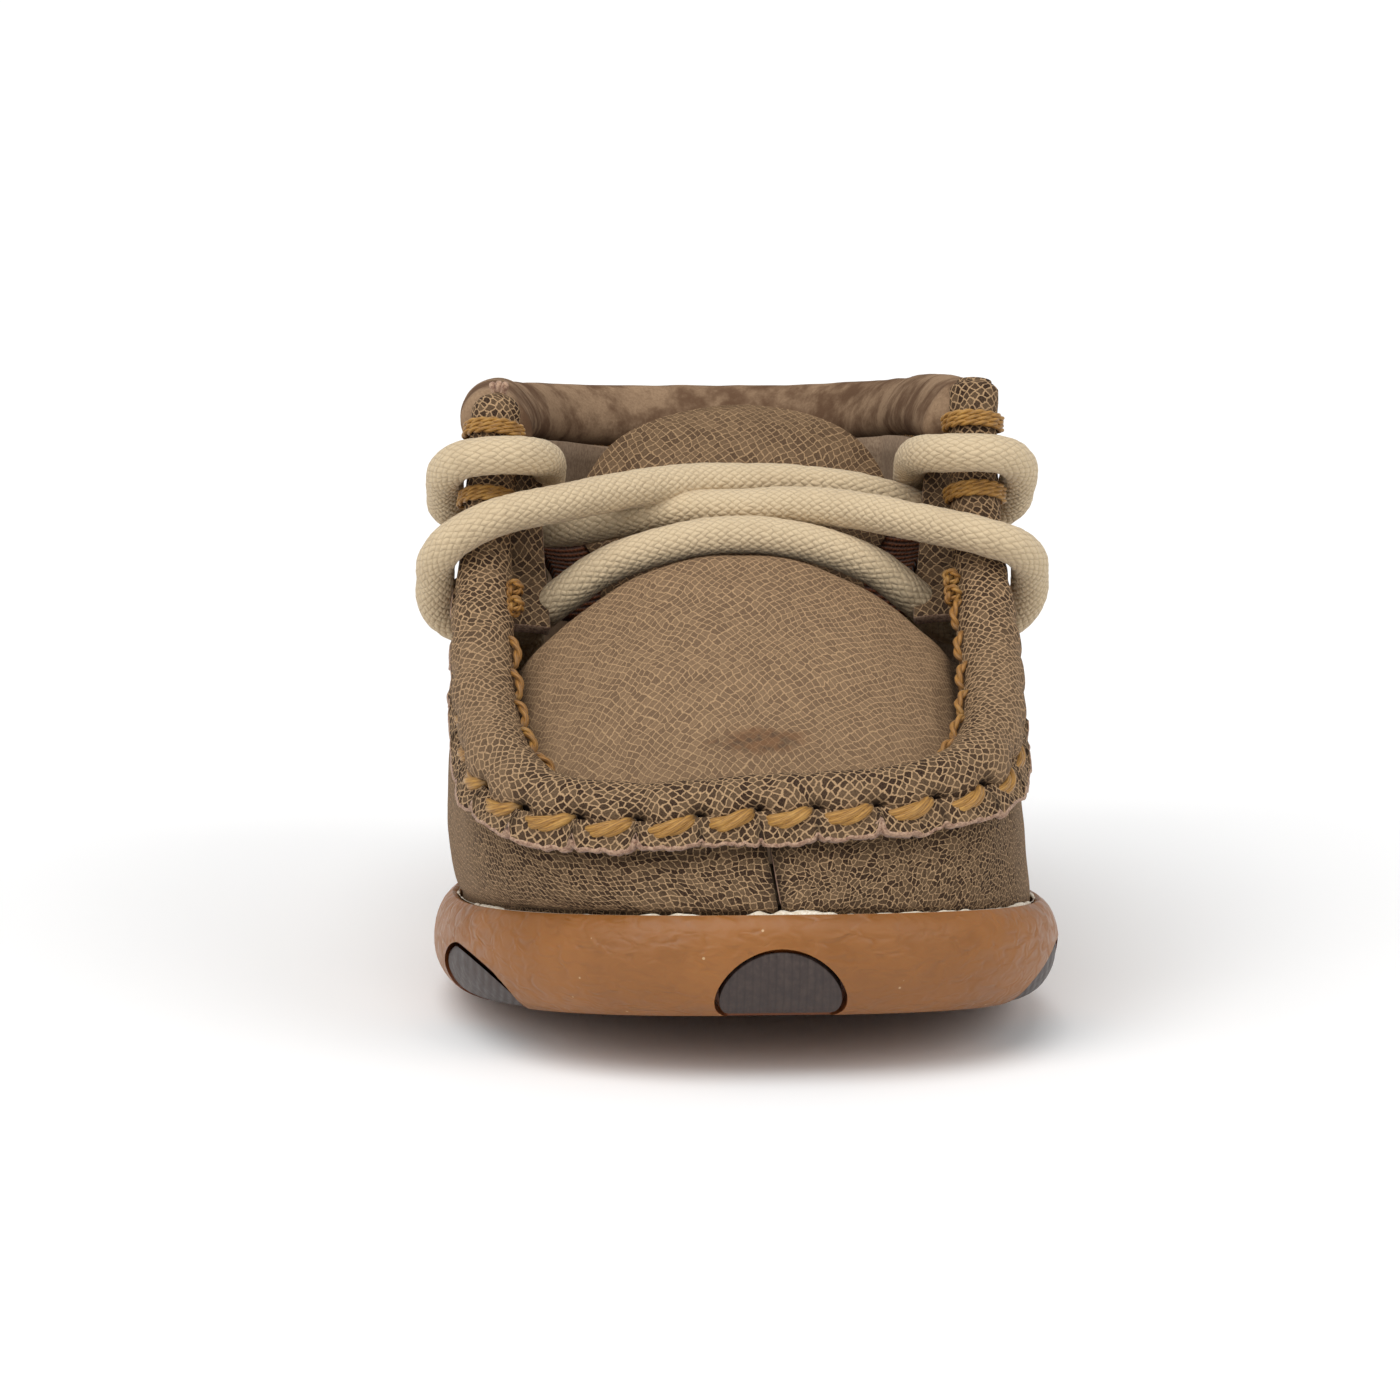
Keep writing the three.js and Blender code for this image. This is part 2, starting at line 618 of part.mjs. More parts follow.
function addWalls() {
  for (const [name, side] of Object.entries(SIDES)) {
    const stations = STATIONS[name];
    const sections = stations.map((s) => shellSection(s, side, { depth: 0, thickness: LEATHER }));
    // The two end sections stand off the toe and heel seams.
    for (const end of [sections[0], sections.at(-1)]) end.forEach((p) => p.setX(p.x + side * SEAM_GAP));
    add("wall_" + name, toGeometry(cut(toSolid(loft(sections, "flat")), laceWay, ...rimWays)), "leather");
  }
}

// ---- lining, counter ---------------------------------------------------------------------------------------------
const counterRoom = (y) => (COUNTER + 2 * GAP) * smooth(y, COUNTER_FROM_Y - 8, COUNTER_FROM_Y);
const LINING_DROP = 2.2; // the lining stops this far below the wall's top

function addLining() {
  const from = BOARD_TOP + GAP;
  const section = (station, side) => {
    const depth = LINING_DEPTH + counterRoom(station.point.y);
    return shellSection(station, side, { depth, thickness: LINING, fromFloor: from, belowTop: LINING_DROP });
  };
  const right = STATIONS.right.map((s) => section(s, SIDES.right));
  const left = STATIONS.left.slice(1, -1).map((s) => section(s, SIDES.left));
  const ring = toSolid(loft([...right, ...left.reverse()], "round"));
  add("lining", toGeometry(cut(ring, laceWay, ...rimWays)), "lining");
}

function addCounter() {
  const behind = (name) => STATIONS[name].filter(({ point }) => point.y > COUNTER_FROM_Y);
  const sheet = { depth: LINING_DEPTH, thickness: COUNTER, fromFloor: BOARD_TOP + GAP };
  const section = (station, side) => {
    const room = wallTop(station, side).z - RIM_HEIGHT;
    return shellSection(station, side, { ...sheet, shares: [IN_CUP, 0, 0.14, COUNTER_HEIGHT / room] });
  };
  const right = behind("right").map((s) => section(s, SIDES.right));
  const left = behind("left").slice(0, -1).map((s) => section(s, SIDES.left));
  add("heel_counter", loft([...right, ...left.reverse()], "flat"), "board");
}

// ---- rim roll, collar, threads -----------------------------------------------------------------------------------
function tube(curve, radiusAt, steps, sides, from = 0, to = 1) {
  const rings = [];
  for (let k = 0; k <= steps; k++) {
    const { point, out, down } = frameOn(curve, lerp(from, to, k / steps));
    rings.push(circle(point, out, down, radiusAt(point), 0, 2 * Math.PI * (1 - 1 / sides), sides));
  }
  return loft(rings, "flat");
}

function circle(centre, out, down, radius, from, to, count) {
  return Array.from({ length: count }, (_, k) => {
    const angle = lerp(from, to, k / (count - 1));
    const p = centre.clone().addScaledVector(out, radius * Math.cos(angle));
    return p.addScaledVector(down, -radius * Math.sin(angle));
  });
}

// A skin round a core, open along its underside where its two edges are sewn down.
function openTube(curve, radiusAt, skin, steps) {
  const mouth = THREE.MathUtils.degToRad(28); // half the opening
  const [from, to] = [-Math.PI / 2 + mouth, (3 * Math.PI) / 2 - mouth];
  const rings = [];
  for (let k = 0; k <= steps; k++) {
    const { point, out, down } = frameOn(curve, k / steps);
    const outer = circle(point, out, down, radiusAt(point), from, to, 10);
    const inner = circle(point, out, down, radiusAt(point) - skin, from, to, 10);
    rings.push([...outer, ...inner.reverse()]);
  }
  return loft(rings, "flat");
}

function addRollAndCollar() {
  const rollCore = (p) => rollRadius(p) - ROLL_SKIN - GAP;
  const collarRadius = () => COLLAR_RADIUS;
  const collarCore = () => COLLAR_RADIUS - COLLAR_SKIN - GAP;
  add("rim_roll", openTube(rollCurve, rollRadius, ROLL_SKIN, ROLL_STEPS), "leather");
  add("rim_core", tube(rollCurve, rollCore, ROLL_STEPS, 8, 0.004, 0.996), "foam");
  add("collar", openTube(collarCurve, collarRadius, COLLAR_SKIN, COLLAR_STEPS), "suede");
  add("collar_foam", tube(collarCurve, collarCore, COLLAR_STEPS, 8, 0.004, 0.996), "foam");
}

// A thread laid along the roll at an angle round it, 0 pointing outwards and 90 degrees up: one angle at the toe
// and another at the sides.
function threadCurve(atToe, atSide, from, to) {
  const points = Array.from({ length: 40 }, (_, k) => {
    const { point, out, down } = frameOn(rollCurve, lerp(from, to, k / 39));
    const away = rollRadius(point) + THREAD_RADIUS + GAP;
    const angle = THREE.MathUtils.degToRad(lerp(atSide, atToe, Math.abs(out.y)));
    const p = point.clone().addScaledVector(out, away * Math.cos(angle));
    return p.addScaledVector(down, -away * Math.sin(angle));
  });
  return new THREE.CatmullRomCurve3(points);
}

const BAR_YS = { lower: -15.8, upper: -12.7 }; // where on the roll, below and above the lace

function addThreads() {
  const thread = () => THREAD_RADIUS;
  add("outer_seam_thread", tube(threadCurve(-6, -48, 0.14, 0.86), thread, 44, 6), "thread");
  add("inner_seam_thread", tube(threadCurve(166, 166, 0.17, 0.83), thread, 40, 6), "thread");
  for (const [height, y] of Object.entries(BAR_YS)) {
    for (const [name, side] of Object.entries(SIDES)) {
      const { point, out, down } = onPathAtY(rollCurve, side, y);
      const arc = circle(point, out, down, rollRadius(point) + GAP + BAR_RADIUS, 0, Math.PI, 9);
      add(`column_bar_${height}_${name}`, barTube(new THREE.CatmullRomCurve3(arc)), "thread");
    }
  }
}

function barTube(curve) {
  const oval = new THREE.Shape().absellipse(0, 0, BAR_RADIUS, BAR_RADIUS, 0, 2 * Math.PI, false, 0);
  return new THREE.ExtrudeGeometry(oval, { steps: 12, extrudePath: curve, curveSegments: 3 });
}

// The strip over the heel seam, from just above the sole to just below the collar.
const HEEL_STRIP_WIDTH = 12;

function addHeelStrip() {
  const shares = [0.03, 0.14, 0.36, 0.66, 0.92];
  const near = STATION_YS.findIndex((y, k) => STATIONS.right[k].point.x < HEEL_STRIP_WIDTH && y > HEEL_Y);
  const right = STATIONS.right.slice(near).map((s) => [s, SIDES.right]);
  const left = STATIONS.left.slice(near, -1).map((s) => [s, SIDES.left]);
  const sheet = { depth: -(LEATHER + GAP), thickness: LEATHER, shares };
  const rings = [...right, ...left.reverse()].map(([s, side]) => shellSection(s, side, sheet));
  add("heel_strip", loft(rings, "flat"), "leather");
}

// ---- apron and its lining ------------------------------------------------------------------------------------------
const APRON_CELLS = 10;
const APRON_STEPS = 14;

// The apron's upper face: share runs from toe to throat, q from -1 at the little-toe edge to 1 at the other.
function apronPoint(share, q, drop, inset) {
  const ridge = apronRidge.getPoint(share);
  const scoop = APRON_REAR_SCOOP * share * share;
  const side = q < 0 ? -1 : 1;
  const edgeY = Math.max(TOE_ROLL_Y + 0.3, ridge.y - ROLL_RADIUS - GAP - scoop + 2.2 * share);
  const { point, out, down } = onPathAtY(rollCurve, side, edgeY);
  const edge = point.clone().addScaledVector(out, -(ROLL_RADIUS + GAP + inset)).addScaledVector(down, 2.4);
  const t = Math.abs(q);
  const x = lerp(middleX(ridge.y), edge.x, t);
  const y = lerp(ridge.y, edge.y, t * t);
  const z = lerp(Math.max(ridge.z, edge.z), edge.z, Math.pow(t, 2.3));
  return vec(x, y, z - drop);
}

function apronSheet(drop, thickness, inset, from, to) {
  const rings = [];
  for (let k = 0; k <= APRON_STEPS; k++) {
    const share = lerp(from, to, k / APRON_STEPS);
    const qs = Array.from({ length: APRON_CELLS + 1 }, (_, j) => lerp(-1, 1, j / APRON_CELLS));
    const upper = qs.map((q) => apronPoint(share, q, drop, inset));
    const lower = qs.map((q) => apronPoint(share, q, drop + thickness, inset)).reverse();
    rings.push([...upper, ...lower]);
  }
  return loft(rings, "flat");
}

function addApron() {
  add("apron", apronSheet(0, LEATHER, 0, 0.02, 1), "leather");
  add("apron_lining", apronSheet(LEATHER + GAP, LINING, 1.2, 0.12, 0.98), "lining");
}

// ---- tongue, gores, facings ------------------------------------------------------------------------------------------
const TONGUE_STEPS = 12;
const TONGUE_CELLS = 8;
const TONGUE_ROUND_FROM = 0.58; // share of its length where its sides start to round in

function tongueFrame(share) {
  const point = tongueRidge.getPointAt(share);
  const along = tongueRidge.getTangentAt(share);
  return { point, outwards: vec(0, -along.z, along.y) };
}

function tongueHalfWidth(share, inset) {
  const turn = Math.max(0, (share - TONGUE_ROUND_FROM) / (1 - TONGUE_ROUND_FROM));
  const full = lerp(TONGUE_HALF_WIDTHS.root, TONGUE_HALF_WIDTHS.top, smooth(share, 0.2, 0.55));
  return Math.max(1.5, (full - inset) * Math.sqrt(Math.max(0, 1 - turn ** 2.4)));
}

function tonguePoint(share, q, depth, inset) {
  const { point, outwards } = tongueFrame(share);
  const sag = TONGUE_ARCH * (1 - 0.3 * share) * q * q * (tongueHalfWidth(share, 0) / TONGUE_HALF_WIDTHS.top) ** 2;
  const p = point.clone().addScaledVector(outwards, -depth - sag);
  return p.setX(TONGUE_LEAN * share + q * tongueHalfWidth(share, inset));
}

function tongueSheet(depth, thickness, inset, from, to) {
  const rings = [];
  for (let k = 0; k <= TONGUE_STEPS; k++) {
    const share = lerp(from, to, k / TONGUE_STEPS);
    const qs = Array.from({ length: TONGUE_CELLS + 1 }, (_, j) => lerp(-1, 1, j / TONGUE_CELLS));
    const face = qs.map((q) => tonguePoint(share, q, depth, inset));
    const back = qs.map((q) => tonguePoint(share, q, depth + thickness, inset)).reverse();
    rings.push([...face, ...back]);
  }
  return loft(rings, "flat");
}

const FACING_SPAN = { foot: 0.14, top: 0.045 }; // share of the roll's length from its end
const FACING_WIDTHS = { foot: 3.2, top: 1.6 };
const GORE_REACH = 3.4; // width of the elastic between tongue and facing
const GORE_THICKNESS = 1.1;

function addTongue() {
  add("tongue", tongueSheet(0, LEATHER, 0, 0, 1), "leather");
  add("tongue_lining", tongueSheet(LEATHER + 0.5, LINING, 0.8, 0, 0.97), "lining");
}

// The folded-in leather behind each column, which the lace is threaded through.
function addFacings() {
  for (const [name, side] of Object.entries(SIDES)) {
    const rings = [];
    for (let k = 0; k <= 8; k++) {
      const share = lerp(FACING_SPAN.foot, FACING_SPAN.top, k / 8);
      const { point, out, down } = frameOn(rollCurve, side > 0 ? 1 - share : share);
      const near = point.clone().addScaledVector(out, -rollRadius(point));
      const width = lerp(FACING_WIDTHS.foot, FACING_WIDTHS.top, k / 8);
      const far = near.clone().addScaledVector(out, -width);
      const front = rollRadius(point) + GAP;
      const corners = [
        [near, front],
        [far, front],
        [far, front + LEATHER],
        [near, front + LEATHER],
      ];
      rings.push(corners.map(([p, deep]) => p.clone().addScaledVector(down, deep)));
    }
    add("facing_" + name, toGeometry(cut(toSolid(loft(rings, "flat")), laceWay)), "leather");
  }
}

function addGores() {
  const clear = 0.6; // from the tongue's edge
  for (const [name, side] of Object.entries(SIDES)) {
    const rings = [];
    for (let k = 0; k <= 6; k++) {
      const share = lerp(0.04, 0.42, k / 6);
      const { outwards } = tongueFrame(share);
      const edge = tonguePoint(share, side, 0, 0);
      const corners = [
        [clear, 0],
        [clear + GORE_REACH, 0],
        [clear + GORE_REACH, GORE_THICKNESS],
        [clear, GORE_THICKNESS],
      ];
      rings.push(
        corners.map(([away, deep]) => edge.clone().addScaledVector(outwards, -deep).setX(edge.x + side * away)),
      );
    }
    add("gore_" + name, loft(rings, "flat"), "elastic");
  }
}

// ---- lace ---------------------------------------------------------------------------------------------------------------
function addLace() {
  add("lace", laceTube(LACE_DIAMETER / 2), "lace");
  const ends = { left: [LACE_PATH[0], LACE_PATH[1]], right: [LACE_PATH.at(-1), LACE_PATH.at(-2)] };
  for (const [name, [tip, before]] of Object.entries(ends)) {
    const outwards = vec(...tip).sub(vec(...before)).setZ(0).normalize();
    const aglet = new THREE.CylinderGeometry(AGLET_DIAMETER / 2, AGLET_DIAMETER / 2, AGLET_LENGTH, 10);
    aglet.applyQuaternion(new THREE.Quaternion().setFromUnitVectors(vec(0, 1, 0), outwards));
    const middle = vec(...tip).addScaledVector(outwards, AGLET_LENGTH / 2 + GAP);
    aglet.translate(...middle.toArray());
    add("aglet_" + name, aglet, "aglet");
  }
}

addOutsole();
addInsoles();
addWalls();
addLining();
addCounter();
addRollAndCollar();
addThreads();
addHeelStrip();
addApron();
addTongue();
addFacings();
addGores();
addLace();

export default group;
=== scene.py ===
"""An infant's lace-up driving moccasin: gum sole with pods, embossed leather, stuffed rim roll, braided lace.

Sizes are in millimetres and meshes are made in metres. +Z is up, the toe points along -Y, and +X is the
big-toe side.
"""

import enum
import logging
import math
from dataclasses import dataclass, field
from typing import Callable

import bmesh
import bpy
import numpy as np
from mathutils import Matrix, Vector, noise


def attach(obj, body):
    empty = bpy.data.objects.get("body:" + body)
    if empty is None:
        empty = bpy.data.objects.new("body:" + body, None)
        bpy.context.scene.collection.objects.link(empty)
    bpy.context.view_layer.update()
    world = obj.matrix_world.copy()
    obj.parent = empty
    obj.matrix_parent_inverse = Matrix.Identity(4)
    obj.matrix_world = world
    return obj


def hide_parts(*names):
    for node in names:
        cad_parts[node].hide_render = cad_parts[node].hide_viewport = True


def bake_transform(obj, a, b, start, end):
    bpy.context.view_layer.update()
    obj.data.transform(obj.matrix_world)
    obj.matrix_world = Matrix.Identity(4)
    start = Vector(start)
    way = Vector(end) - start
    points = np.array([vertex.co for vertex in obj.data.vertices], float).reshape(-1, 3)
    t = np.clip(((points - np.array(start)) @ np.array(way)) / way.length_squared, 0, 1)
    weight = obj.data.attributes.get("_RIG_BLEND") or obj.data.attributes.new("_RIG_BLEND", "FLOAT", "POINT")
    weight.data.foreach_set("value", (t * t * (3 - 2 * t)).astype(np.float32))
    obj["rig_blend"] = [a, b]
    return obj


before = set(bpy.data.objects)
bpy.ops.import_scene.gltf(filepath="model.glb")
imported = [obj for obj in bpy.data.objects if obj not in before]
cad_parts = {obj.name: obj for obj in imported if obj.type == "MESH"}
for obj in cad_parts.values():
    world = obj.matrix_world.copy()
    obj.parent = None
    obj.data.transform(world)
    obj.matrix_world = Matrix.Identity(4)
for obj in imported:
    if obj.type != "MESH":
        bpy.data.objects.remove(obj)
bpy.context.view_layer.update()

LOG = logging.getLogger("moccasin")
MM = 0.001
UP = np.array([0.0, 0.0, 1.0])
SHOE = "shoe"
TONGUE = "tongue"
GAP = 0.35
COUNTER_FROM, COUNTER_TO = 24, 32

Numbers = float | np.ndarray
Height = Callable[[np.ndarray], Numbers]
Socket = bpy.types.NodeSocket
Feed = Socket | float | tuple


class Side(enum.IntEnum):
    """The little-toe side and the big-toe side."""

    LEFT = -1
    RIGHT = 1


# ---- numbers -----------------------------------------------------------------------------------------------
def lerp(low: Numbers, high: Numbers, share: Numbers) -> Numbers:
    """A value between two, at a share of the way."""
    return low + (high - low) * share


def ease(value: Numbers, low: float, high: float) -> np.ndarray:
    """A smooth step from 0 at low to 1 at high."""
    share = np.clip((np.asarray(value, float) - low) / (high - low), 0, 1)
    return share * share * (3 - 2 * share)


def unit(vectors: np.ndarray) -> np.ndarray:
    """The vectors at length 1."""
    return vectors / np.maximum(np.linalg.norm(vectors, axis=-1, keepdims=True), 1e-12)


def rough(points: np.ndarray, size: float, seed: float = 0.0) -> np.ndarray:
    """Smooth random values from about -1 to 1 at points in space.

    Args:
        points: Places in millimetres, any shape that ends in 3.
        size: How far apart the lumps are, in millimetres.
        seed: Moves the pattern.

    Returns:
        One value for each point.
    """
    flat = points.reshape(-1, 3) / size + seed * 7.31
    return np.array([noise.noise(Vector(p)) for p in flat]).reshape(points.shape[:-1])


@dataclass
class Places:
    """Places along a path with their directions: along it, level outwards, and square down."""

    points: np.ndarray
    along: np.ndarray
    out: np.ndarray
    down: np.ndarray

    def around(self, radius: Numbers, angle: Numbers) -> np.ndarray:
        """Points at a radius and angle round the path, 0 pointing outwards and 90 degrees up.

        Args:
            radius: Distance from the path, for each place or for all.
            angle: Angle in degrees, for each place or for all.

        Returns:
            One point for each place.
        """
        turn = np.radians(np.broadcast_to(angle, len(self.points)))[:, None]
        reach = np.broadcast_to(radius, len(self.points))[:, None]
        return self.points + reach * (np.cos(turn) * self.out - np.sin(turn) * self.down)


class Path:
    """A smooth path through points, as a centripetal Catmull-Rom curve."""

    def __init__(self, points: list | np.ndarray, steps: int = 48) -> None:
        """Samples the curve densely.

        Args:
            points: The points that the path goes through.
            steps: Samples between each pair of them.
        """
        knots = np.asarray(points, float)
        knots = np.vstack([2 * knots[0] - knots[1], knots, 2 * knots[-1] - knots[-2]])
        t = np.linspace(0, 1, steps, endpoint=False)[:, None]
        parts = []
        for a, b, c, d in zip(knots, knots[1:], knots[2:], knots[3:]):
            ab, bc, cd = (math.sqrt(max(np.linalg.norm(q - p), 1e-6)) for p, q in ((a, b), (b, c), (c, d)))
            start = bc * ((b - a) / ab - (c - a) / (ab + bc) + (c - b) / bc)
            end = bc * ((c - b) / bc - (d - b) / (bc + cd) + (d - c) / cd)
            parts.append(
                b + start * t + (3 * (c - b) - 2 * start - end) * t**2 + (2 * (b - c) + start + end) * t**3
            )
        self.samples = np.vstack([*parts, knots[-2][None]])
        steps_long = np.linalg.norm(np.diff(self.samples, axis=0), axis=1)
        self.reached = np.concatenate([[0], np.cumsum(steps_long)])
        self.length = float(self.reached[-1])

    def at(self, share: Numbers) -> np.ndarray:
        """Points at shares of the path's length."""
        want = np.asarray(share, float) * self.length
        return np.stack([np.interp(want, self.reached, self.samples[:, k]) for k in range(3)], -1)

    def at_knot(self, share: Numbers) -> np.ndarray:
        """Points at shares of the path's number of spans, however long each is."""
        want = np.asarray(share, float) * (len(self.samples) - 1)
        index = np.arange(len(self.samples))
        return np.stack([np.interp(want, index, self.samples[:, k]) for k in range(3)], -1)

    def places(self, share: Numbers) -> Places:
        """Places with their directions at shares of the path's length."""
        share = np.atleast_1d(np.asarray(share, float))
        nudge = 0.15 / self.length
        along = unit(self.at(np.minimum(share + nudge, 1)) - self.at(np.maximum(share - nudge, 0)))
        out = unit(np.cross(along, UP))
        return Places(self.at(share), along, out, unit(np.cross(along, out)))


class SidedPath(Path):
    """A path over both sides of the shoe, whose two halves meet at a joint in the middle."""

    def __init__(self, left: list, right: list) -> None:
        """Joins two half paths that share their joint.

        Args:
            left: The little-toe half, from the joint outwards.
            right: The big-toe half, from the joint outwards.
        """
        super().__init__([*reversed(left[1:]), *right])
        joint = np.linalg.norm(self.samples - np.array(right[0]), axis=1).argmin()
        self.halves = {Side.LEFT: slice(joint, None, -1), Side.RIGHT: slice(joint, None)}

    def share_at_y(self, side: Side, y: Numbers) -> np.ndarray:
        """Shares of the path's length at which one half has the given y."""
        ys, reached = self.samples[self.halves[side], 1], self.reached[self.halves[side]]
        order = np.argsort(ys, kind="stable")
        return np.interp(y, ys[order], reached[order]) / self.length


# ---- meshes ------------------------------------------------------------------------------------------------
class Sewing:
    """A mesh in the making, from curved sheets that start as grids."""

    def __init__(self) -> None:
        """Starts with nothing."""
        self.bm = bmesh.new()
        self.layers = {}
        # The hole mark is painted shade: it darkens needle holes, slits, seam grooves and tucked edges.
        for name in ("u", "v", "worn", "hole"):
            self.layers[name] = self.bm.verts.layers.float.new(name)

    def sheet(
        self,
        rows: np.ndarray,
        uv: np.ndarray | None = None,
        worn: Numbers = 0.0,
        hole: Numbers = 0.0,
        slot: int = 0,
    ) -> None:
        """Lays a grid over rows of points.

        Args:
            rows: Points in millimetres, rows by columns by 3.
            uv: Where each point lies on the flat material, in millimetres. It is measured if left out.
            worn: How pale and rubbed each point is, from 0 to 1.
            hole: How deep in a needle hole or crease each point is, from 0 to 1, where the finishes paint
                shade.
            slot: Number of the material slot.
        """
        count, across = rows.shape[:2]
        made = bmesh.ops.create_grid(self.bm, x_segments=across - 1, y_segments=count - 1, size=1)["verts"]
        spread = measured_uv(rows) if uv is None else uv
        values = {"u": spread[..., 0], "v": spread[..., 1], "worn": worn, "hole": hole}
        flat = {key: np.broadcast_to(value, (count, across)).ravel() for key, value in values.items()}
        for k, (vert, point) in enumerate(zip(made, rows.reshape(-1, 3) * MM)):
            vert.co = point
            for key, layer in self.layers.items():
                vert[layer] = flat[key][k]
        if slot:
            for face in {face for vert in made for face in vert.link_faces}:
                face.material_index = slot

    def tube(
        self, rings: np.ndarray, uv: np.ndarray | None = None, pointed: bool = True, **marks: Numbers
    ) -> None:
        """Lays a closed tube over rings of points.

        Args:
            rings: Points in millimetres, rings by points round by 3.
            uv: Where each point lies on the flat material, with one more column than rings has.
            pointed: Whether to close both ends with a pole.
            **marks: worn, hole and slot, as for a sheet.
        """
        rows = np.concatenate([rings, rings[:, :1]], axis=1)
        spread = measured_uv(rows) if uv is None else uv
        if pointed:
            poles = [np.broadcast_to(ring.mean(axis=0), ring.shape)[None] for ring in (rows[0], rows[-1])]
            rows = np.concatenate([poles[0], rows, poles[1]])
            spread = np.concatenate([spread[:1], spread, spread[-1:]])
            for key in ("worn", "hole"):
                if np.ndim(marks.get(key, 0)) == 2:
                    marks[key] = np.concatenate([marks[key][:1], marks[key], marks[key][-1:]])
        self.sheet(rows, spread, **marks)

    def finish(
        self, name: str, closed: bool = True, inside: tuple | None = None, sharp: float | None = None
    ) -> bpy.types.Object:
        """Turns the mesh into an object.

        Args:
            name: The object's name.
            closed: Whether its edges meet, so that its outside can be worked out.
            inside: For an open sheet, a point in millimetres that its back faces.
            sharp: Angle in degrees past which an edge is shown sharp.

        Returns:
            The new object.
        """
        bm = self.bm
        spread = bm.loops.layers.uv.new("surface")
        u, v = self.layers["u"], self.layers["v"]
        for face in bm.faces:
            for loop in face.loops:
                loop[spread].uv = (loop.vert[u], loop.vert[v])
        bmesh.ops.remove_doubles(bm, verts=bm.verts, dist=1e-7)
        bmesh.ops.dissolve_degenerate(bm, edges=bm.edges, dist=1e-7)
        if closed:
            bmesh.ops.recalc_face_normals(bm, faces=bm.faces)
        elif inside is not None:
            back = Vector(inside) * MM
            bm.normal_update()
            if sum((f.calc_center_median() - back).dot(f.normal) * f.calc_area() for f in bm.faces) < 0:
                bmesh.ops.reverse_faces(bm, faces=bm.faces)
        for name_of in ("u", "v"):
            bm.verts.layers.float.remove(bm.verts.layers.float[name_of])
        return to_object(bm, name, sharp)


def to_object(bm: bmesh.types.BMesh, name: str, sharp: float | None = None) -> bpy.types.Object:
    """Makes an object of a mesh, shaded smooth, and frees the mesh.

    Args:
        bm: The mesh.
        name: The object's name.
        sharp: Angle in degrees past which an edge is shown sharp.

    Returns:
        The new object.
    """
    for face in bm.faces:
        face.smooth = True
    mesh = bpy.data.meshes.new(name)
    bm.to_mesh(mesh)
    bm.free()
    if sharp is not None:
        mesh.set_sharp_from_angle(angle=math.radians(sharp))
    made = bpy.data.objects.new(name, mesh)
    bpy.context.scene.collection.objects.link(made)
    return made


def measured_uv(rows: np.ndarray) -> np.ndarray:
    """Flat places of a curved sheet's points, measured along its rows and columns in millimetres."""
    down = np.linalg.norm(np.diff(rows, axis=0), axis=2).mean(axis=1)
    across = np.linalg.norm(np.diff(rows, axis=1), axis=2)
    u = np.concatenate([[0], np.cumsum(down)])[:, None] + np.zeros(rows.shape[1])
    v = np.concatenate([np.zeros((len(rows), 1)), np.cumsum(across, axis=1)], axis=1)
    return np.stack([u, v - v.mean(axis=1, keepdims=True)], -1)


def rings_round(places: Places, radius: np.ndarray, sides: int) -> np.ndarray:
    """Rings of points round places, with a radius for each ring or for each point."""
    angles = np.linspace(0, 360, sides, endpoint=False)
    radius = np.broadcast_to(
        radius if np.ndim(radius) == 2 else np.atleast_1d(radius)[:, None], (len(places.points), sides)
    )
    return np.stack([places.around(radius[:, k], angle) for k, angle in enumerate(angles)], axis=1)


def steady_places(points: np.ndarray) -> Places:
    """Places along any line of points, with directions across it that turn as little as they can.

    Args:
        points: The line's points in millimetres.

    Returns:
        The places.
    """
    along = unit(np.gradient(points, axis=0))
    start = np.cross(along[0], UP)
    if np.linalg.norm(start) < 0.1:
        start = np.cross(along[0], [1.0, 0, 0])
    across = [unit(start)]
    for step in along[1:]:
        across.append(unit(across[-1] - step * across[-1].dot(step)))
    out = np.array(across)
    return Places(points, along, out, unit(np.cross(along, out)))


def thicken(obj: bpy.types.Object, thickness: float, rim_slot: int = 0, bevel: float = 0.0) -> None:
    """Gives a sheet its thickness towards its back.

    Args:
        obj: The sheet.
        thickness: In millimetres.
        rim_slot: How many material slots on from the face's own its cut edge is.
        bevel: Rounding of the cut edge in millimetres.
    """
    solid = obj.modifiers.new("thickness", "SOLIDIFY")
    solid.thickness = thickness * MM
    solid.offset = -1
    solid.material_offset_rim = rim_slot
    if bevel:
        edge = obj.modifiers.new("edge", "BEVEL")
        edge.width = bevel * MM
        edge.segments = 2
        edge.limit_method = "ANGLE"
        edge.angle_limit = math.radians(50)


def cut_with(obj: bpy.types.Object, tools: list[bpy.types.Object], operation: str = "DIFFERENCE") -> None:
    """Cuts tools out of an object, or keeps what they share with it, and removes them.

    Args:
        obj: The object.
        tools: What cuts it.
        operation: DIFFERENCE to cut, INTERSECT to keep what is shared.
    """
    for tool in tools:
        knife = obj.modifiers.new("cut", "BOOLEAN")
        knife.operation = operation
        knife.solver = "EXACT"
        knife.material_mode = "TRANSFER"
        knife.object = tool
    settle(obj)
    for tool in tools:
        bpy.data.objects.remove(tool)


def settle(obj: bpy.types.Object) -> None:
    """Makes an object's modifiers part of its mesh.

    Args:
        obj: The object.
    """
    depsgraph = bpy.context.evaluated_depsgraph_get()
    depsgraph.update()
    mesh = bpy.data.meshes.new_from_object(obj.evaluated_get(depsgraph), depsgraph=depsgraph)
    obj.modifiers.clear()
    obj.data = mesh
    mesh.name = obj.name


# ---- finishes ----------------------------------------------------------------------------------------------
def paint(code: str) -> tuple[float, float, float, float]:
    """A colour as Blender wants it, from its usual six-digit code."""
    parts = [int(code[k : k + 2], 16) / 255 for k in (0, 2, 4)]
    return (*[p / 12.92 if p <= 0.04045 else ((p + 0.055) / 1.055) ** 2.4 for p in parts], 1.0)


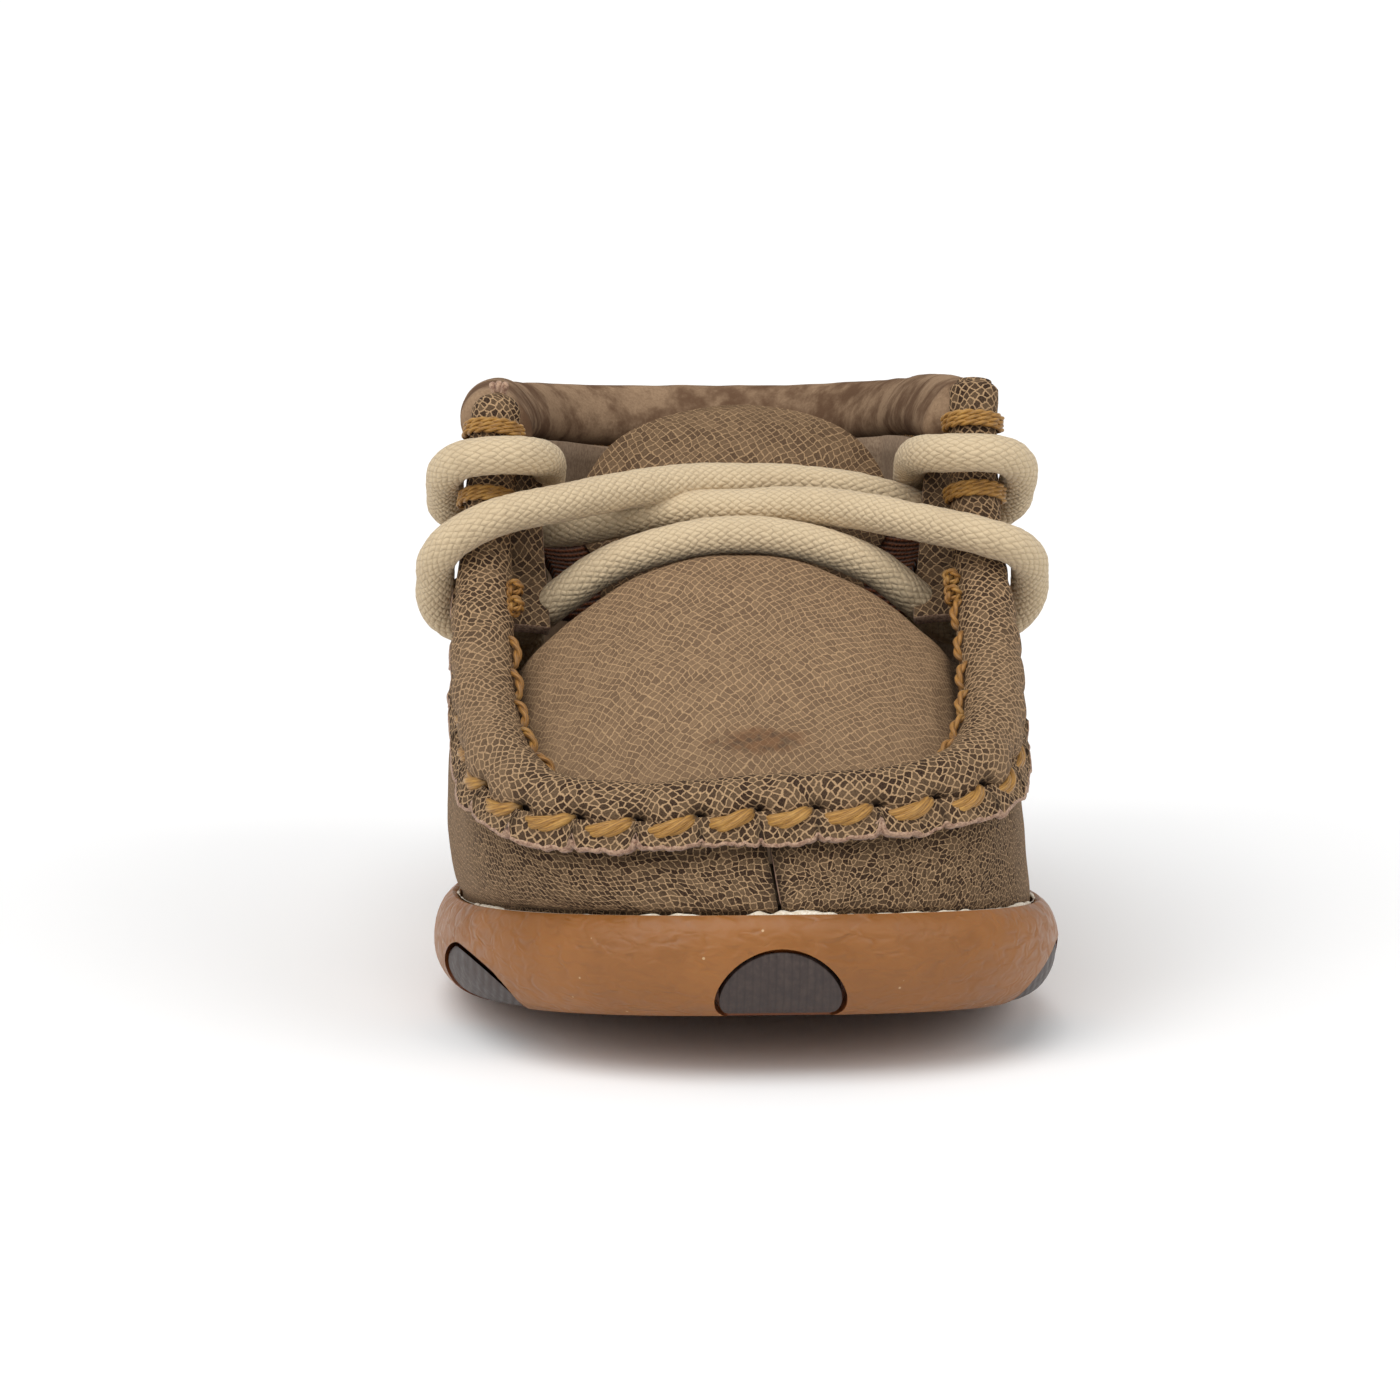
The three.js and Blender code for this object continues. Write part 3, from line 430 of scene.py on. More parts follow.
class Recipe:
    """A material in the making: its shader, and short ways to make and join nodes."""

    def __init__(self, name: str, **settings: float) -> None:
        """Starts a material.

        Args:
            name: The material's name.
            **settings: Constants for the shader's sockets, with _ for a space.
        """
        self.material = bpy.data.materials.new(name)
        self.material.use_nodes = True
        self.tree = self.material.node_tree
        self.tree.nodes.clear()
        self.shader = self.tree.nodes.new("ShaderNodeBsdfPrincipled")
        end = self.tree.nodes.new("ShaderNodeOutputMaterial")
        self.tree.links.new(self.shader.outputs[0], end.inputs[0])
        for key, value in settings.items():
            self.shader.inputs[key.replace("_", " ")].default_value = value

    def node(self, kind: str, inputs: dict | None = None, **settings: str | bool) -> bpy.types.Node:
        """Makes a node and feeds its inputs with sockets or constants.

        Args:
            kind: Its type, without the part that all shader nodes share.
            inputs: A socket or a constant for each input.
            **settings: The node's own settings.

        Returns:
            The node.
        """
        made = self.tree.nodes.new("ShaderNode" + kind)
        for key, value in settings.items():
            setattr(made, key, value)
        for key, value in (inputs or {}).items():
            if isinstance(value, Socket):
                self.tree.links.new(value, made.inputs[key])
            else:
                made.inputs[key].default_value = value
        return made

    def math(self, operation: str, *values: Feed, clamp: bool = False) -> Socket:
        """The result of a Math node."""
        return self.node("Math", dict(enumerate(values)), operation=operation, use_clamp=clamp).outputs[0]

    def mix(self, share: Feed, low: Feed, high: Feed) -> Socket:
        """A colour between two."""
        made = self.node("Mix", {0: share, 6: low, 7: high}, data_type="RGBA", clamp_factor=True)
        return made.outputs[2]

    def step(self, value: Feed, low: float, high: float, to_low: float = 0.0, to_high: float = 1.0) -> Socket:
        """A smooth step of a value from one level to another."""
        inputs = {0: value, 1: low, 2: high, 3: to_low, 4: to_high}
        return self.node("MapRange", inputs, interpolation_type="SMOOTHSTEP").outputs[0]

    def noise(self, place: Socket, scale: float, detail: float = 3.0, roughness: float = 0.55) -> Socket:
        """A noise value from 0 to 1."""
        inputs = {"Vector": place, "Scale": scale, "Detail": detail, "Roughness": roughness}
        return self.node("TexNoise", inputs).outputs[0]

    def spread(self, turn: float = 0.0, stretch: tuple = (1.0, 1.0, 1.0)) -> Socket:
        """Places on the flat material in millimetres, turned by degrees and stretched."""
        uv = self.node("UVMap", uv_map="surface").outputs[0]
        inputs = {"Vector": uv, "Rotation": (0, 0, math.radians(turn)), "Scale": stretch}
        return self.node("Mapping", inputs).outputs[0]

    def space(self, stretch: float = 1000.0) -> Socket:
        """Places on the object in millimetres."""
        made = self.node("TexCoord").outputs["Object"]
        return self.node("Mapping", {"Vector": made, "Scale": (stretch,) * 3}).outputs[0]

    def mark(self, name: str) -> Socket:
        """A value that was marked on the mesh."""
        return self.node("Attribute", attribute_name=name, attribute_type="GEOMETRY").outputs["Fac"]

    def finish(
        self,
        colour: Socket,
        height: Socket | None = None,
        depth: float = 0.05,
        roughness: Socket | None = None,
    ) -> bpy.types.Material:
        """Feeds the shader.

        Args:
            colour: The surface colour.
            height: Relief from 0 to 1, if it has any.
            depth: Depth of the relief in millimetres.
            roughness: A socket, where the roughness varies.

        Returns:
            The material.
        """
        self.tree.links.new(colour, self.shader.inputs["Base Color"])
        if height is not None:
            bump = self.node("Bump", {"Height": height, "Distance": depth * MM, "Strength": 1.0})
            self.tree.links.new(bump.outputs[0], self.shader.inputs["Normal"])
        if roughness is not None:
            self.tree.links.new(roughness, self.shader.inputs["Roughness"])
        return self.material


@dataclass(frozen=True)
class EmbossedLeather:
    """Leather pressed with a small irregular grid: dark pits between pale, finely crackled ridges."""

    name: str
    turn: float = 0.0
    cell: float = 0.8
    uneven: float = 0.45
    contrast: float = 0.9
    dark: str = "3c2b22"
    middle: str = "836a4f"
    line: str = "b89873"
    rubbed: str = "8c7259"
    blur: float = 0.45
    ridge: float = 0.115
    scuff: bool = False

    def material(self) -> bpy.types.Material:
        """Makes the material.

        Returns:
            The material.
        """
        make = Recipe(self.name, Specular_IOR_Level=0.12)
        flat = make.spread(self.turn)
        moved = flat
        for scale, reach in ((0.17, 2.4), (2.1, 0.3)):
            swirl = make.node("TexNoise", {"Vector": flat, "Scale": scale, "Detail": 1.5}).outputs[1]
            shift = make.node("VectorMath", {0: swirl, 1: (reach, reach, 0)}, operation="MULTIPLY").outputs[0]
            moved = make.node("VectorMath", {0: moved, 1: shift}, operation="ADD").outputs[0]
        cells = {"Vector": moved, "Scale": 1 / self.cell, "Randomness": self.uneven}
        edge = make.node("TexVoronoi", cells, feature="DISTANCE_TO_EDGE", voronoi_dimensions="2D").outputs[0]
        tint = make.node("TexVoronoi", cells, feature="F1", voronoi_dimensions="2D").outputs["Color"]
        tone = make.node("SeparateColor", {0: tint}).outputs[0]
        grain = make.noise(flat, 6.0, 3.0, 0.7)
        ragged = make.math("ADD", edge, make.math("MULTIPLY", make.math("SUBTRACT", grain, 0.5), self.blur))
        pit = make.step(ragged, self.ridge - 0.08, self.ridge)
        fine = {"Vector": moved, "Scale": 4.0, "Randomness": 1.0}
        crackle = make.node(
            "TexVoronoi", fine, feature="DISTANCE_TO_EDGE", voronoi_dimensions="2D"
        ).outputs[0]
        crackle = make.step(crackle, 0.02, 0.22, 1.0, 0.0)
        patches = make.noise(flat, 0.12, 3.0, 0.6)
        rubbed = make.math("ADD", make.mark("worn"), make.step(patches, 0.5, 0.75, 0.0, 0.2), clamp=True)
        ground = make.mix(make.math("MULTIPLY", crackle, 0.6), paint(self.middle), paint(self.line))
        ground = make.mix(make.step(grain, 0.36, 0.6, 0.45, 0.95), ground, paint(self.line))
        strength = make.math("MULTIPLY", make.step(tone, 0.0, 0.9, 0.78, 1.0), self.contrast)
        strength = make.math(
            "MULTIPLY", strength, make.math("SUBTRACT", 1.0, make.math("MULTIPLY", rubbed, 0.3))
        )
        colour = make.mix(make.math("MULTIPLY", pit, strength), ground, paint(self.dark))
        colour = make.mix(make.math("MULTIPLY", crackle, 0.07), colour, paint(self.line))
        colour = make.mix(make.math("MULTIPLY", rubbed, 0.34), colour, paint(self.rubbed))
        if self.scuff:
            colour = self.scuffed(make, colour)
        # Painted shade: the hole mark darkens needle holes, slits, seam grooves and tucked edges.
        colour = make.mix(make.math("MULTIPLY", make.mark("hole"), 0.95), colour, paint("140b07"))
        height = make.math("SUBTRACT", make.math("MULTIPLY", grain, 0.5), make.math("MULTIPLY", pit, 0.7))
        return make.finish(colour, height, 0.07, make.step(grain, 0.3, 0.7, 0.7, 0.9))

    @staticmethod
    def scuffed(make: Recipe, colour: Socket) -> Socket:
        """Lays a burnt-looking scuff over the front of the apron.

        Args:
            make: The recipe that it goes into.
            colour: The leather's colour.

        Returns:
            The colour with the scuff.
        """
        space = make.space()
        away = make.node("VectorMath", {0: space, 1: (0.8, -45.0, 30.6)}, operation="SUBTRACT").outputs[0]
        flat = make.node("VectorMath", {0: away, 1: (0.13, 0.36, 0.3)}, operation="MULTIPLY").outputs[0]
        reach = make.node("VectorMath", {0: flat}, operation="LENGTH").outputs["Value"]
        ragged = make.math("ADD", reach, make.math("MULTIPLY", make.noise(space, 0.5, 4.0, 0.7), 0.9))
        inside = make.step(ragged, 0.75, 1.25, 1.0, 0.0)
        burnt = make.mix(make.step(make.noise(space, 0.8, 4.0), 0.42, 0.62), paint("6e4a30"), paint("3a2a22"))
        return make.mix(make.math("MULTIPLY", inside, 0.6), colour, burnt)


@dataclass(frozen=True)
class RawEdge:
    """The fuzzy cut edge of the leather."""

    name: str = "raw_leather_edge"
    fibre: str = "c2a288"
    shade: str = "846352"

    def material(self) -> bpy.types.Material:
        """Makes the material.

        Returns:
            The material.
        """
        make = Recipe(self.name, Roughness=0.95, Sheen_Weight=0.15, Specular_IOR_Level=0.15)
        space = make.space()
        fuzz = make.noise(space, 3.2, 5.0, 0.75)
        colour = make.mix(make.step(fuzz, 0.35, 0.65), paint(self.shade), paint(self.fibre))
        return make.finish(colour, fuzz, 0.12)


@dataclass(frozen=True)
class Suede:
    """Soft brushed leather, mottled where its nap lies both ways."""

    name: str
    pale: str
    dark: str
    blotch: float = 0.16

    def material(self) -> bpy.types.Material:
        """Makes the material.

        Returns:
            The material.
        """
        make = Recipe(self.name, Roughness=1.0, Specular_IOR_Level=0.04)
        space = make.space()
        blotches = make.noise(space, self.blotch, 5.0, 0.65)
        nap = make.noise(space, 3.5, 3.0, 0.6)
        colour = make.mix(make.step(blotches, 0.38, 0.62), paint(self.dark), paint(self.pale))
        colour = make.mix(make.step(nap, 0.3, 0.75, 0.0, 0.35), colour, paint(self.dark))
        # Painted shade from the hole mark, in the groove of the seam that holds the collar down.
        colour = make.mix(make.math("MULTIPLY", make.mark("hole"), 0.8), colour, paint("2a1c15"))
        return make.finish(colour, make.math("ADD", nap, blotches), 0.06)


@dataclass(frozen=True)
class Gum:
    """Natural gum rubber: a little see-through, finely wrinkled, with pale specks."""

    name: str
    base: str
    deep: str

    def material(self) -> bpy.types.Material:
        """Makes the material.

        Returns:
            The material.
        """
        make = Recipe(self.name, Subsurface_Weight=0.06, Subsurface_Scale=0.0015, Specular_IOR_Level=0.42)
        space = make.space()
        clouds = make.noise(space, 0.09, 3.0)
        colour = make.mix(make.step(clouds, 0.3, 0.7, 0.0, 0.5), paint(self.base), paint(self.deep))
        creases = make.node("Mapping", {"Vector": space, "Scale": (0.6, 0.6, 1.1)}).outputs[0]
        wrinkle = make.node(
            "TexNoise", {"Vector": creases, "Scale": 0.75, "Detail": 1.0, "Distortion": 0.9}
        ).outputs[0]
        specks = {"Vector": space, "Scale": 0.42, "Randomness": 1.0}
        dot = make.node("TexVoronoi", specks, feature="F1").outputs[0]
        speck = make.step(dot, 0.04, 0.075, 0.5, 0.0)
        colour = make.mix(speck, colour, paint("e2c79c"))
        # Painted shade in the wrinkle creases: darker where the relief is low.
        colour = make.mix(make.step(wrinkle, 0.3, 0.5, 0.3, 0.0), colour, paint(self.deep))
        return make.finish(colour, wrinkle, 0.28, make.step(wrinkle, 0.3, 0.7, 0.36, 0.52))


@dataclass(frozen=True)
class PodRubber:
    """Dark rubber with fine moulded ribs."""

    name: str = "pod_rubber"

    def material(self) -> bpy.types.Material:
        """Makes the material.

        Returns:
            The material.
        """
        make = Recipe(self.name, Specular_IOR_Level=0.4)
        space = make.space()
        ribs = {"Vector": space, "Scale": 0.42, "Distortion": 0.0}
        rib = make.node("TexWave", ribs, wave_type="BANDS", bands_direction="X").outputs[1]
        dust = make.noise(space, 1.1, 4.0, 0.65)
        colour = make.mix(make.step(dust, 0.35, 0.7), paint("362b28"), paint("453934"))
        # Painted shade in the grooves between the moulded ribs.
        colour = make.mix(make.step(rib, 0.0, 0.3, 0.3, 0.0), colour, paint("241c19"))
        relief = make.math("ADD", rib, make.math("MULTIPLY", dust, 0.5))
        return make.finish(colour, relief, 0.06, make.step(dust, 0.3, 0.7, 0.42, 0.6))


@dataclass(frozen=True)
class WaxedThread:
    """Thick twisted thread with wax on it."""

    name: str
    pale: str = "b3843a"
    dark: str = "78501c"

    def material(self) -> bpy.types.Material:
        """Makes the material.

        Returns:
            The material.
        """
        make = Recipe(self.name, Specular_IOR_Level=0.45, Roughness=0.45, Sheen_Weight=0.1)
        fibre = make.noise(make.spread(0, (0.5, 5.0, 1)), 1.6, 3.0, 0.6)
        colour = make.mix(make.step(fibre, 0.3, 0.68), paint(self.dark), paint(self.pale))
        patches = make.noise(make.space(), 0.5, 2.0)
        colour = make.mix(make.step(patches, 0.5, 0.75, 0.0, 0.35), colour, paint("c69a4e"))
        # Painted shade from the hole mark, where each thread's ends sink into their holes.
        colour = make.mix(make.math("MULTIPLY", make.mark("hole"), 0.75), colour, paint("2c1a0a"))
        return make.finish(colour, fibre, 0.07)


@dataclass(frozen=True)
class BraidedCord:
    """Round braid, plaited one over one from strands that run both ways round it."""

    name: str = "lace_cord"
    strands: int = 16
    girth: float = 12.25
    rise: float = 0.95
    pale: str = "d2bd9b"
    shade: str = "94795a"

    def material(self) -> bpy.types.Material:
        """Makes the material.

        Returns:
            The material.
        """
        make = Recipe(self.name, Roughness=0.86, Sheen_Weight=0.12, Specular_IOR_Level=0.2)
        wobble = make.math("MULTIPLY", make.math("SUBTRACT", make.noise(make.space(), 0.8, 2.0), 0.5), 0.9)
        uv = make.node("SeparateXYZ", {0: make.spread()}).outputs
        turns = make.math("MULTIPLY", uv[1], self.strands / self.girth)
        climb = make.math("ADD", make.math("MULTIPLY", uv[0], self.rise), wobble)
        one, other = make.math("ADD", turns, climb), make.math("SUBTRACT", turns, climb)
        count = make.math("SUBTRACT", make.math("FLOOR", one), make.math("FLOOR", other))
        count = make.math("FLOORED_MODULO", count, 2.0)
        over = make.math("LESS_THAN", count, 1.0)
        parts = []
        for phase, crossed, down in ((one, other, True), (other, one, False)):
            across = make.math("SINE", make.math("MULTIPLY", make.math("FRACT", phase), math.pi))
            along = make.math("FRACT", crossed)
            along = make.math("SUBTRACT", 1.0, along) if down else along
            along = make.math("MULTIPLY", along, math.pi)
            rise = make.math("ADD", make.math("MULTIPLY", make.math("SINE", along), 0.6), 0.4)
            parts.append(make.math("MULTIPLY", across, rise))
        height = make.node("Mix", {0: over, 2: parts[1], 3: parts[0]}, data_type="FLOAT").outputs[0]
        fibre = make.noise(make.space(), 4.5, 3.0, 0.7)
        grime = make.noise(make.space(), 0.22, 3.0, 0.6)
        # Painted shade: the braid is darker where the strands dip into crevices.
        colour = make.mix(make.step(height, 0.0, 0.42, 0.42, 0.0), paint(self.pale), paint(self.shade))
        colour = make.mix(make.step(fibre, 0.35, 0.75, 0.0, 0.3), colour, paint("b39c7b"))
        colour = make.mix(make.step(grime, 0.45, 0.75, 0.0, 0.35), colour, paint("b59f80"))
        return make.finish(colour, make.math("ADD", height, make.math("MULTIPLY", fibre, 0.5)), 0.13)


@dataclass(frozen=True)
class Elastic:
    """Ribbed woven elastic."""

    name: str = "elastic_gore"

    def material(self) -> bpy.types.Material:
        """Makes the material.

        Returns:
            The material.
        """
        make = Recipe(self.name, Roughness=0.85, Sheen_Weight=0.2, Specular_IOR_Level=0.2)
        uv = make.node("SeparateXYZ", {0: make.spread()}).outputs
        rib = make.math("SINE", make.math("MULTIPLY", uv[0], 2 * math.pi / 0.75))
        weft = make.math("SINE", make.math("MULTIPLY", uv[1], 2 * math.pi / 0.4))
        fibre = make.noise(make.space(), 3.0, 3.0)
        # Painted shade: the troughs between the ribs are darkened and the crests are lighter.
        colour = make.mix(make.step(rib, -0.6, 0.7), paint("33190f"), paint("7a4527"))
        colour = make.mix(make.step(fibre, 0.4, 0.7, 0.0, 0.4), colour, paint("8d5a36"))
        return make.finish(colour, make.math("ADD", rib, make.math("MULTIPLY", weft, 0.3)), 0.12)


@dataclass(frozen=True)
class Plain:
    """A plain stuff with a fine grain: lining, board, cement or plastic."""

    name: str
    pale: str
    dark: str
    roughness: float = 0.9
    grain: float = 2.5
    depth: float = 0.04

    def material(self) -> bpy.types.Material:
        """Makes the material.

        Returns:
            The material.
        """
        make = Recipe(self.name, Roughness=self.roughness, Specular_IOR_Level=0.25)
        space = make.space()
        grain = make.noise(space, self.grain, 4.0, 0.65)
        patches = make.noise(space, self.grain / 12, 3.0)
        colour = make.mix(make.step(grain, 0.35, 0.65), paint(self.dark), paint(self.pale))
        colour = make.mix(make.step(patches, 0.4, 0.7, 0.0, 0.4), colour, paint(self.dark))
        return make.finish(colour, grain, self.depth)


@dataclass
class Wardrobe:
    """Every finish of the shoe, each made once."""

    finishes: dict = field(default_factory=dict)

    def __post_init__(self) -> None:
        """Makes the materials."""
        recipes = [
            EmbossedLeather("wall_leather_left", 4, 0.66, 0.5, 1.0, dark="2b1c13", middle="644d3a"),
            EmbossedLeather("wall_leather_right", 20, 0.56, 0.9, 1.0, dark="2b1c13", middle="644d3a"),
            EmbossedLeather(
                "roll_leather", 38, 0.72, 0.5, 1.0, dark="2f2017", middle="6a523e", blur=0.36, ridge=0.14
            ),
            EmbossedLeather(
                "apron_leather", 40, 0.7, 0.28, 0.78, dark="48352a", middle="7b624b", blur=0.3, scuff=True
            ),
            EmbossedLeather("tongue_leather", 36, 0.74, 0.28, 0.85, dark="3c2a20", middle="6f5742", blur=0.3),
            EmbossedLeather("facing_leather", 42, 0.74, 0.3, 1.0, dark="2e1f17", middle="604a38", blur=0.3),
            RawEdge(),
            Suede("collar_suede", "9a8066", "644c3a"),
            Gum("gum_rubber", "905c29", "784a1e"),
            # This darker copy of the gum is painted shade for the groove walls round the pods and pads.
            Gum("groove_shade_rubber", "6f3a12", "4f260a"),
            PodRubber(),
            WaxedThread("outer_thread"),
            WaxedThread("inner_thread", "a9752e", "634015"),
            BraidedCord(),
            Elastic(),
            Plain("lining_leather", "97816a", "7a6450"),
            Plain("fibre_board", "b59b78", "8d7452", 0.9, 1.5, 0.08),
            Plain("dried_cement", "efe8da", "cfc0a8", 0.5, 3.5, 0.12),
            Plain("aglet_plastic", "dcd2b8", "c9bd9e", 0.3, 1.0, 0.01),
        ]
        self.finishes = {recipe.name: recipe.material() for recipe in recipes}

    def dress(self, obj: bpy.types.Object, *names: str) -> bpy.types.Object:
        """Gives an object its materials, one for each slot.

        Args:
            obj: The object.
            *names: Names of the finishes.

        Returns:
            The object.
        """
        slots = [face.material_index for face in obj.data.polygons]
        obj.data.materials.clear()
        for name in names:
            obj.data.materials.append(self.finishes[name])
        if len(names) > 1:
            obj.data.polygons.foreach_set("material_index", slots)
        return obj

    def dress_node(self, name: str, finish: str) -> None:
        """Gives a CAD node its material without touching its mesh."""
        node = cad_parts[name]
        if not node.material_slots:
            node.data.materials.append(self.finishes[finish])
        for place in node.material_slots:
            place.material = self.finishes[finish]


def place_piece(obj: bpy.types.Object, slot: str, *nodes: str, body: str = SHOE) -> bpy.types.Object:
    """Makes a finished piece ride on a body and stand for CAD nodes.

    Args:
        obj: The piece.
        slot: The record's material slot; not used.
        *nodes: CAD nodes that it stands for.
        body: The CAD body that it moves with.

    Returns:
        The piece.
    """
    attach(obj, body)
    if nodes:
        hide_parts(*nodes)
    LOG.info("%s: %d faces", obj.name, len(obj.data.polygons))
    return obj


# ---- the shape of the sole ---------------------------------------------------------------------------------
@dataclass
class Stations:
    """Places round the sole's outline with their outward directions and sides."""

    points: np.ndarray
    outs: np.ndarray
    sides: np.ndarray

    def __add__(self, other: "Stations") -> "Stations":
        """One run of stations after another."""
        pairs = ((self.points, other.points), (self.outs, other.outs), (self.sides, other.sides))
        return Stations(*[np.concatenate(pair) for pair in pairs])

    def part(self, keep: slice | np.ndarray) -> "Stations":
        """The stations that a slice or mask keeps."""
        return Stations(self.points[keep], self.outs[keep], self.sides[keep])


@dataclass(frozen=True)
class SoleShape:
    """The outline and heights of the cup sole."""

    length: float = 126
    ball_width: float = 62.6
    heel_width: float = 47
    ball_y: float = -22
    heel_y: float = 38
    toe_swing: float = 2
    arch_hollow: float = 2.2
    arch_y: float = 8
    toe_spring: float = 6.9
    spring_from_y: float = -4
    spring_curve: float = 1.3
    rim_height: float = 10
    floor_thickness: float = 4.6
    heel_lift: float = 1.4
    heel_rise_from_y: float = 52
    toe_squareness: float = 2.5
    heel_squareness: float = 2.3

    @property
    def toe_y(self) -> float:
        """Where the toe ends."""
        return -self.length / 2

    @property
    def back_y(self) -> float:
        """Where the heel ends."""
        return self.length / 2

    def middle(self, y: Numbers) -> np.ndarray:
        """The middle of the sole across its width."""
        return self.toe_swing * ease(-np.asarray(y, float), 2, -self.toe_y)

    def half_width(self, y: Numbers, side: Numbers) -> np.ndarray:
        """Half of the sole's width on one side.

        Args:
            y: Where along the sole.
            side: Which side, for each place or for all.

        Returns:
            The half widths.
        """
        y, side = np.asarray(y, float), np.asarray(side)
        toe = np.clip(np.abs((y - self.ball_y) / (self.toe_y - self.ball_y)), 0, 1) ** self.toe_squareness
        toe = self.ball_width / 2 * (1 - toe) ** (1 / self.toe_squareness)
        hollow = np.where(side > 0, self.arch_hollow, self.arch_hollow / 4)
        arch = hollow * ease(y, self.ball_y, self.arch_y) * (1 - ease(y, self.arch_y, self.heel_y))
        rear = lerp(self.ball_width, self.heel_width, ease(y, self.ball_y, self.heel_y)) / 2 - arch
        heel = np.clip((y - self.heel_y) / (self.back_y - self.heel_y), 0, 1) ** self.heel_squareness
        return np.where(y < self.ball_y, toe, rear * (1 - heel) ** (1 / self.heel_squareness))

    def underside(self, y: Numbers) -> np.ndarray:
        """Height of the sole's underside."""
        y = np.asarray(y, float)
        toe = np.maximum(0, (self.spring_from_y - y) / (self.spring_from_y - self.toe_y))
        heel = np.maximum(0, (y - self.heel_rise_from_y) / (self.back_y - self.heel_rise_from_y))
        return self.toe_spring * toe**self.spring_curve + heel * heel

    def floor(self, y: Numbers) -> np.ndarray:
        """Height of the floor inside the cup."""
        return self.underside(y) + self.floor_thickness + self.heel_lift * ease(y, 0, self.back_y)

    def stations(self, side: Side, toe: int = 44, waist: int = 60, heel: int = 40) -> Stations:
        """Stations on one side from toe to heel, close together at both ends.

        Args:
            side: Which side.
            toe: How many ahead of the ball.
            waist: How many along the waist.
            heel: How many round the heel.

        Returns:
            The stations.
        """
        front = lerp(self.toe_y, self.ball_y, (np.arange(toe) / toe) ** 2.4)
        middle = lerp(self.ball_y, 30, np.arange(waist) / waist)
        rear = lerp(30, self.back_y, 1 - (1 - np.arange(heel + 1) / heel) ** 2.2)
        ys = np.concatenate([front, middle, rear])
        points = np.stack([self.middle(ys) + side * self.half_width(ys, side), ys, np.zeros(len(ys))], -1)
        low, high = np.maximum(self.toe_y, ys - 0.02), np.minimum(self.back_y, ys + 0.02)
        slope = (self.half_width(high, side) - self.half_width(low, side)) / (high - low)
        outs = unit(np.stack([np.full(len(ys), float(side)), -slope, np.zeros(len(ys))], -1))
        outs[0], outs[-1] = (0, -1, 0), (0, 1, 0)
        return Stations(points, outs, np.full(len(ys), int(side)))

    def loop(self, **counts: int) -> Stations:
        """Stations all the way round: the big-toe side to the heel, then the little-toe side back."""
        right, left = self.stations(Side.RIGHT, **counts), self.stations(Side.LEFT, **counts)
        return right + left.part(slice(-2, 0, -1))

    def ring(self, stations: Stations, inset: float, height: Height) -> np.ndarray:
        """A ring inside the outline.

        Args:
            stations: The stations that it follows.
            inset: How far inside, in millimetres.
            height: A function of y that gives the height.

        Returns:
            Its points.
        """
        points = stations.points - inset * stations.outs
        points[:, 2] = height(points[:, 1])
        return points

    def cores(self, stations: Stations, inset: float, height: Height) -> list[np.ndarray]:
        """Smaller and smaller copies of a ring, which close a face without folding over at the heel.

        Args:
            stations: The stations that the ring follows.
            inset: How far inside it is.
            height: A function of y that gives the height.

        Returns:
            The copies, from the largest.
        """
        outer = self.ring(stations, inset, height)
        across = outer[:, 0] - self.middle(outer[:, 1])
        rings = []
        for size in (0.7, 0.35):
            along = outer[:, 1] * size
            rings.append(np.stack([self.middle(along) + across * size, along, height(along)], -1))
        return rings


# ---- the shape of the upper --------------------------------------------------------------------------------
ROLL_JOINT = [0.8, -55.3, 26.2]
ROLL_RIGHT = [
    ROLL_JOINT, [13, -54.2, 26.6], [20.6, -49.6, 28], [23.7, -43, 30.4], [24.9, -35, 33.8], [25.1, -27, 38.4],
    [24.9, -20.5, 43.6], [24.8, -16.3, 50.2], [24.8, -13.2, 57], [25.1, -11, 62.5],
]  # fmt: skip
ROLL_LEFT = [
    ROLL_JOINT, [-11.4, -54.2, 25.2], [-20, -50, 25.8], [-24.2, -43.4, 28.6], [-25.6, -35, 32.6],
    [-25.8, -27, 37.7],
    [-25.5, -20.5, 43.3], [-25, -16.3, 50], [-24.4, -13.2, 56.5], [-23.8, -11, 61.6],
]  # fmt: skip
COLLAR_JOINT = [0, 55.8, 51.9]
COLLAR_RIGHT = [
    COLLAR_JOINT, [9.4, 53.4, 52.2], [17.4, 46, 53.2], [22, 33, 55], [23.8, 18, 57], [24.6, 4, 58.2],
    [24.8, -5.6, 58.6],
]  # fmt: skip
COLLAR_LEFT = [
    COLLAR_JOINT, [-9.4, 53.4, 52.2], [-17.4, 46, 53.2], [-22, 33, 54.9], [-23.6, 18, 56.8], [-24.2, 4, 57.8],
    [-24.4, -5.6, 58],
]  # fmt: skip
APRON_RIDGE = [[-52.2, 24.6], [-49.5, 27], [-45, 31], [-36, 37.4], [-27.5, 43], [-20.6, 46.3]]
TONGUE_RIDGE = [[-16.4, 41.8], [-11.6, 45.4], [-6.8, 50], [-3.2, 54.8], [-1.2, 59.2]]
IN_CUP = -1.0


